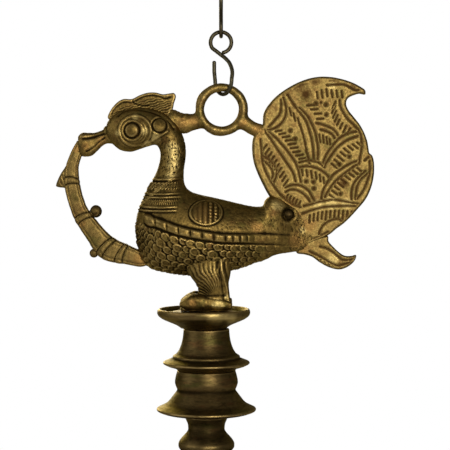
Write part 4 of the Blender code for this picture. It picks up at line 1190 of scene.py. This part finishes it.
def engraved(x, z, strokes):
    """How deep the strokes are cut at each point; where they cross, the deeper one counts."""
    height = np.zeros(x.shape)
    for line, depth, width in strokes:
        height = np.minimum(height, -depth * bell(line_distance(x, z, line, 3), width))
    return height


def engraved_strokes(lines, hatches):
    """The chased lines and the shorter hatch strokes, each with its depth and width."""
    strokes = [(smooth_through(line, 8) if len(line) > 2 else np.array(line), 0.62, 0.68) for line in lines]
    for row, count, run in hatches:
        for start in even(smooth_through(row, 6), count):
            long = 0.85 + 0.3 * RNG.random()
            strokes.append((np.stack([start, start + long * np.array(run)]), 0.62, 0.5))
    return strokes


TAIL_STROKES = engraved_strokes(TAIL_LINES, TAIL_HATCHES)
FEATHER_STROKES = engraved_strokes(FEATHER_LINES, [FEATHER_HATCH])


def tail_relief(x, z, side):
    height = engraved(x, z, TAIL_STROKES)
    for cx, cz in TAIL_DOTS:
        r = np.hypot(x - cx, z - cz)
        height -= 0.85 * bell(r, 1.1) - 0.12 * bell(r - 2.0, 0.4)
    for cx, cz, size in TAIL_FLAWS:
        height -= 0.55 * bell(np.hypot(x - cx, z - cz), size * 0.6)
    flat = np.stack([x, 0 * x + 3 * side, z], axis=1)
    return height + 0.14 * noise(flat, 5.0, 41) + 0.06 * noise(flat, 1.3, 42, 2)


def tail():
    shape = plate(TAIL, 2.45, 0.37, tail_relief, edge=1.7)
    add_piece(
        "tail_plate", shape, ENGRAVED, "tail_fan", reach_mm=1.0,
        braze=[(50, 64, 7), (31, 104, 4), (98, 93, 3), (62, 50, 6), (30, 92, 3)],
        painted_shade_and_flaws=TAIL_FLAWS_AND_TOP_SHADE,
        polish_and_highlight=[(75, 64.3, 6), (67, 63, 5), (84, 64, 5), (75, 134, 4)],
    )


def feather_relief(x, z, side):
    flat = np.stack([x, 0 * x + 3 * side, z], axis=1)
    return engraved(x, z, FEATHER_STROKES) + 0.12 * noise(flat, 3.0, 45)


def feather():
    shape = plate(FEATHER, 2.15, 0.33, feather_relief, edge=1.4)
    add_piece(
        "feather_plate", shape, ENGRAVED, "lower_feather", reach_mm=1.0,
        braze=[(57, 37, 7)], polish_and_highlight=[(76, 31, 5)],
    )


def rivet():
    """The rivet's shank and two hammered heads, sunk in their seats."""
    half = [(0.0, 6.9), (1.6, 6.7), (2.7, 6.1), (3.2, 5.0), (2.7, 4.9), (2.0, 4.9), (2.0, 0.0)]
    profile = half + [(r, -z) for r, z in reversed(half[:-1])]
    line = even(smooth_through(profile, 4), 60)
    angle = np.arange(48) / 48 * math.tau
    r, y = np.clip(line[:, 0], 0.02, None)[:, None], line[:, 1][:, None]
    rings = np.stack([RIVET[0] + r * np.cos(angle), -y + 0 * angle, RIVET[1] + r * np.sin(angle)], axis=2)
    rough = 1 + 0.03 * noise(rings, 1.5, 51)
    rings[..., 1] *= rough
    # Painted shade over the rivet's head
    add_piece("rivet_hammered", loft(rings), LATHE, "tail_rivet", painted_shade_and_flaws=[(50, 58.5, 4)])


# ---------------------------------------------------------------- legs and plinth


LEG_SPINE = [(8.8, 31.0), (9.2, 26.0), (10.5, 20.8), (11.9, 14.8), (12.6, 9.2), (13.0, 6.0), (11.2, 2.1)]
FEATHER_ROOTS = (9.0, 6.0)


def leg_relief(p):
    """Feather lines that fan down to the ankle, and a thin ridge down the back of the leg."""
    x, z = p[..., 0], p[..., 2]
    turn = np.degrees(np.arctan2(z - FEATHER_ROOTS[1], FEATHER_ROOTS[0] - x))
    away = np.hypot(z - FEATHER_ROOTS[1], x - FEATHER_ROOTS[0])
    wander = 2.5 * noise(p, 4.0, 64)
    lines = np.sin((turn + wander + 2 * np.sin(away / 2.5)) / 6.5 * math.tau)
    front = step(9.5, 7.0, x) * step(6.0, 10.0, z) * step(6, 11, away) * step(33, 25, z)
    height = 0.2 * lines * front
    spine = line_distance(x, z, smooth_through(LEG_SPINE, 6), 5)
    height += 0.9 * bell(spine, 0.6) - 0.35 * bell(spine - 2.2, 0.7)
    ankle = 0.4 * bell(z - 9.6, 0.7) * step(12.5, 10.5, x)
    return height - ankle + 0.12 * noise(p, 2.0, 61)


def foot_relief(p, side_y):
    x, y = p[..., 0], p[..., 1] - side_y
    toes = np.abs(np.abs(y) - 2.1)
    height = -0.7 * bell(toes, 0.55) * step(2.0, -4.0, x)
    return height + 0.35 * noise(p, 2.4, 63)


def legs():
    for name, side in (("near_leg", -1), ("far_leg", 1)):
        leg = section_rings(LEG, 0.38, 110, side_y=side * LEG_Y)
        leg = leg + ring_normals(leg) * leg_relief(leg)[..., None]
        foot = section_rings(FOOT, 0.38, 90, power=2.8, side_y=side * LEG_Y)
        foot = foot + ring_normals(foot) * foot_relief(foot, side * LEG_Y)[..., None]
        shape = joined(loft(leg), loft(rounded_ends(foot, 0.7)))
        add_piece(
            f"{name}_cast", shape, CAST, name,
            braze=[(-8, 5, 4)],
            polish_and_highlight=[(7, 4, 5), (12.4, 9, 2.5)],
            # Painted shadow at the ankle and on the top of the foot
            painted_shade_and_flaws=[(-6, 10, 4.5), (0, 12, 4.5), (-9, 17, 4)],
        )


PLINTH_HALF_X, PLINTH_HALF_Y, PLINTH_MIDDLE_X, PLINTH_CORNER_POWER = 14.6, 13.4, -1.0, 0.42
# How far in each ring of the plate lies, and its height, from the middle below to the middle above
PLINTH_RINGS = [
    (6, 0.3), (2, 0.3), (0.5, 0.3), (0, 0.7), (0, 1.4), (0.2, 2.2), (0.8, 2.65), (2.5, 2.7), (8, 2.7),
]
PLINTH_INSET_SCALE = 15.6
# Painted shade over the plate under the feet
PLINTH_SHADE = (0, 0, 60)
PLINTH_BOSS = [(3.5, 0.6), (5.9, 0.6), (5.9, -9.5), (3.5, -9.5)]


def plinth():
    """The plate under the feet, with the boss that takes the rod."""
    sides = 160
    turn = np.arange(sides) / sides * math.tau
    x = PLINTH_HALF_X * np.sign(np.cos(turn)) * np.abs(np.cos(turn)) ** PLINTH_CORNER_POWER
    y = PLINTH_HALF_Y * np.sign(np.sin(turn)) * np.abs(np.sin(turn)) ** PLINTH_CORNER_POWER
    rings = []
    for inset, z in PLINTH_RINGS:
        keep = 1 - inset / PLINTH_INSET_SCALE
        rings.append(np.stack([x * keep + PLINTH_MIDDLE_X, y * keep, np.full(sides, z)], axis=1))
    rings = np.stack(rings)
    rings[..., 2] += 0.12 * noise(rings, 3.0, 71)
    boss = turned(PLINTH_BOSS, 72, sides=64)
    add_piece("plinth_cast", joined(loft(rings), boss), CAST, "plinth", painted_shade_and_flaws=[PLINTH_SHADE])


# ---------------------------------------------------------------- turned pieces and bowl


def turned_pieces():
    for name, node_name, profile, seed, bore in (
        ("saucer_turned", "saucer", SAUCER, 81, SAUCER_BORE),
        ("stem_turned", "upper_stem", STEM, 82, BORE_R),
        ("bell_turned", "bell", BELL, 83, BORE_R),
        ("column_turned", "lower_column", COLUMN, 84, BORE_R),
        ("foot_turned", "foot", FOOT_TURNED, 85, BORE_R),
    ):
        verts, faces = turned(profile, seed, bore=bore)
        if node_name == "saucer":
            verts = verts + np.array([SAUCER_SHIFT_X, 0, 0])
        polish_and_highlight = SAUCER_LIP_HIGHLIGHT if node_name == "saucer" else ()
        add_piece(name, (verts, faces), LATHE, node_name, reach_mm=2.2, polish_and_highlight=polish_and_highlight)


def bowl_point(share, depth_in, angle):
    pitch = math.tau / LIPS
    off = (angle + pitch / 2) % pitch - pitch / 2
    lip = LIP_REACH * np.exp(-((off / LIP_SPREAD) ** 2))
    reach = BOWL_R - BOWL_FLOOR_R + lip
    radius = BOWL_FLOOR_R + share * reach + 0.45 * share * depth_in
    height = BOWL_FLOOR_Z + BOWL_DEPTH * share**1.7 - depth_in * (1 - 0.45 * share)
    return radius, height


def oil_bowl():
    """The five-lipped bowl, closed on the rod's bore."""
    sides = 400
    angle = np.arange(sides) / sides * math.tau
    turn = angle + math.pi / 2
    rings = []
    rows = [(None, 0.0)] + [(s, 0.0) for s in np.linspace(0, 1, 70)]
    rows += [(1.0, d) for d in np.linspace(0, BOWL_WALL, 7)[1:-1]]
    rows += [(s, BOWL_WALL) for s in np.linspace(1, 0, 70)] + [(None, BOWL_WALL)]
    for share, depth in rows:
        if share is None:
            radius, height = np.full(sides, BORE_R), np.full(sides, BOWL_FLOOR_Z - depth)
        else:
            radius, height = bowl_point(share, depth, turn)
            if share == 1.0:
                radius = radius + RIM_BULGE * math.sin(math.pi * depth / BOWL_WALL)
        rings.append(np.stack([radius * np.cos(turn), radius * np.sin(turn), height + 0 * angle], axis=1))
    rings = np.stack(rings)
    hammer = noise(rings, 5.0, 91)
    rings[1:-1] += ring_normals(rings)[1:-1] * 0.10 * hammer[1:-1, :, None]
    shape = loft(rings[::-1], wrap_rows=True)
    add_piece("oil_bowl_cast", shape, LATHE, "oil_bowl", reach_mm=2.5)


# ---------------------------------------------------------------- wires


ARC_POINTS = 61


def arc(centre, radius, start_deg, end_deg):
    turn = np.radians(np.linspace(start_deg, end_deg, ARC_POINTS))
    return np.stack([centre[0] + radius * np.cos(turn), centre[1] + radius * np.sin(turn)], axis=1)


def stood_up(flat, turn_deg, z):
    """Points (across, up) in the vertical plane turned about the hanging line."""
    across = np.array([math.cos(math.radians(turn_deg)), math.sin(math.radians(turn_deg)), 0])
    return flat[:, :1] * across + np.array([0, 0, 1]) * (flat[:, 1:] + z)


def s_link(lower_r, upper_r, apart, upper_end_deg):
    return np.vstack([arc((0, 0), lower_r, 55, -235), arc((0, apart), upper_r, -55, upper_end_deg)])


def add_wire(name, path, node_name, seed):
    path = even(path, int(length_of(path) / 0.45))
    drift = np.stack([noise(path, 9.0, seed + k, 1) for k in range(3)], axis=1)
    shape = tube(path + 0.07 * drift, DRAWN_WIRE_R, 22)
    add_piece(name, shape, WIRE, node_name, body=node_name, in_lamp=False, reach_mm=1.2)


def wires():
    top_z = PIVOT["top_hook_swing"][2] + EYE_R
    upper_z = PIVOT["link_swing"][2] + EYE_R
    lower_z = PIVOT["hook_swing"][2] + EYE_R
    top_apart = EYE_R + TOP_HOOK_R + TOP_HOOK_SHANK
    hook = s_link(EYE_R, TOP_HOOK_R, top_apart, 175.0)
    link = s_link(EYE_R, EYE_R, LINK_EYES_APART, 240.0)
    add_wire("top_hook_wire", stood_up(hook, 90, top_z), "top_hook", 101)
    add_wire("upper_link_wire", stood_up(link, 0, upper_z), "upper_link", 104)
    add_wire("lower_link_wire", stood_up(link, 90, lower_z), "lower_link", 107)

    off, _, bend_z = PIVOT["lamp_swing"]
    eye_z = PIVOT["hook_swing"][2] + 2 * WIRE_R + 0.3 - HOOK_EYE_R
    front = np.array([math.cos(math.radians(HOOK_TURN_DEG)), -math.sin(math.radians(HOOK_TURN_DEG)), 0])
    straight_z = bend_z + HOOK_BEND_R
    centre = np.array([off, 0, 0])
    tip = [centre - front * (HOOK_BEND_R + 0.9) + [0, 0, straight_z + rise] for rise in (11.2, 5.6)]
    flat = arc((0, straight_z), HOOK_BEND_R, 180, 360)
    bend = centre + flat[:, :1] * front + np.array([0, 0, 1]) * flat[:, 1:]
    crossing = eye_z - HOOK_EYE_R - 1.2
    rise = smooth_through([bend[-1], *(np.array(below) + [0, 0, crossing] for below in HOOK_RISE)])
    eye = stood_up(arc((0, 0), HOOK_EYE_R, 214, -78), 0, eye_z)
    add_wire("wire_hook_bent", np.vstack([tip, bend[:-1], rise[:-1], eye]), "wire_hook", 110)


# ---------------------------------------------------------------- camera, light and floor

PIXEL_MM, FRAME_PIXELS, CAMERA_AWAY = 0.6, 450, 900.0
AIM = np.array([11.2, 0.0, 51.0])
CAMERA_Z = 84.0


def in_row(point):
    return Vector(ORIGIN + np.asarray(point, float) * MM)


def camera():
    data = bpy.data.cameras.new("camera")
    data.sensor_fit = "HORIZONTAL"
    obj = bpy.data.objects.new("camera", data)
    bpy.context.scene.collection.objects.link(obj)
    obj.location = in_row((AIM[0], -CAMERA_AWAY, CAMERA_Z))
    look = in_row(AIM) - obj.location
    obj.rotation_euler = look.to_track_quat("-Z", "Y").to_euler()
    data.angle = 2 * math.atan(PIXEL_MM * FRAME_PIXELS / 2 / (look.length / MM))
    data.clip_start = 0.01
    bpy.context.scene.camera = obj


WORLD_LIGHT, FLOOR_GLOW, FLOOR_R, FLOOR_BELOW = 0.20, 0.62, 0.85, 0.10
LIGHTS_AIM = (5, 0, 40)


def softbox(name, where, size, power, colour):
    data = bpy.data.lights.new(name, "AREA")
    data.shape = "RECTANGLE"
    data.size, data.size_y = size
    data.energy = power
    data.color = colour
    obj = bpy.data.objects.new(name, data)
    bpy.context.scene.collection.objects.link(obj)
    obj.location = in_row(np.array(where))
    obj.rotation_euler = (in_row(LIGHTS_AIM) - obj.location).to_track_quat("-Z", "Y").to_euler()
    obj.visible_camera = False


# Softboxes: name, place in mm, size in metres, watts and colour
SOFTBOXES = [
    ("key_softbox", (240, -880, 200), (0.30, 0.30), 5.6, (1.0, 0.98, 0.95)),
    ("fill_softbox", (-750, -300, 300), (0.6, 0.8), 2.2, (0.95, 0.98, 1.0)),
    ("back_softbox", (-250, 900, 250), (0.5, 0.5), 4.8, (1.0, 1.0, 1.0)),
]


def lights():
    for box in SOFTBOXES:
        softbox(*box)
    world = bpy.data.worlds.new("studio")
    bpy.context.scene.world = world
    world.use_nodes = True
    tree = world.node_tree
    tree.nodes.clear()
    seen = node(tree, "ShaderNodeBackground", Color=(1, 1, 1, 1), Strength=1.0)
    around = node(tree, "ShaderNodeBackground", Color=(1, 1, 1, 1), Strength=WORLD_LIGHT)
    path = node(tree, "ShaderNodeLightPath")
    pick = node(tree, "ShaderNodeMixShader")
    out = node(tree, "ShaderNodeOutputWorld")
    tree.links.new(path.outputs["Is Camera Ray"], pick.inputs[0])
    tree.links.new(around.outputs[0], pick.inputs[1])
    tree.links.new(seen.outputs[0], pick.inputs[2])
    tree.links.new(pick.outputs[0], out.inputs["Surface"])


def floor():
    """A pale floor below the hanging lamp, fading into the white surroundings."""
    low = CAD_BOX[0].z - FLOOR_BELOW
    bpy.ops.mesh.primitive_circle_add(vertices=96, radius=FLOOR_R, fill_type="NGON", location=(0, 0, low))
    obj = bpy.context.object
    obj.name = "floor"
    made = bpy.data.materials.new("pale_floor")
    made.use_nodes = True
    tree = made.node_tree
    shader = tree.nodes["Principled BSDF"]
    shader.inputs["Base Color"].default_value = (0.86, 0.86, 0.85, 1)
    shader.inputs["Roughness"].default_value = 0.9
    shader.inputs["Emission Color"].default_value = (1, 1, 1, 1)
    seen = node(tree, "ShaderNodeLightPath")
    glow = node(tree, "ShaderNodeMath", operation="MULTIPLY")
    glow.inputs[1].default_value = FLOOR_GLOW
    tree.links.new(seen.outputs["Is Camera Ray"], glow.inputs[0])
    tree.links.new(glow.outputs["Value"], shader.inputs["Emission Strength"])
    where = node(tree, "ShaderNodeTexCoord")
    size = node(tree, "ShaderNodeVectorMath", operation="LENGTH")
    fade = node(tree, "ShaderNodeMapRange", interpolation_type="SMOOTHSTEP")
    for key, value in (("From Min", 0.25), ("From Max", 0.8), ("To Min", 1.0), ("To Max", 0.0)):
        fade.inputs[key].default_value = value
    tree.links.new(where.outputs["Object"], size.inputs[0])
    tree.links.new(size.outputs["Value"], fade.inputs["Value"])
    tree.links.new(fade.outputs["Result"], shader.inputs["Alpha"])
    obj.data.materials.append(made)


def cad_parts_kept():
    """The rod and its nut keep their CAD shapes."""
    for name in ("tie_rod", "rod_nut"):
        materials = frame["nodes"][name].data.materials
        materials.clear()
        materials.append(LATHE)


camera()
lights()
floor()
bird_castings()
beak()
crest()
creeper()
suspension_ring()
tail()
feather()
rivet()
legs()
plinth()
turned_pieces()
oil_bowl()
wires()
cad_parts_kept()

bpy.context.scene.view_settings.view_transform = "Standard"
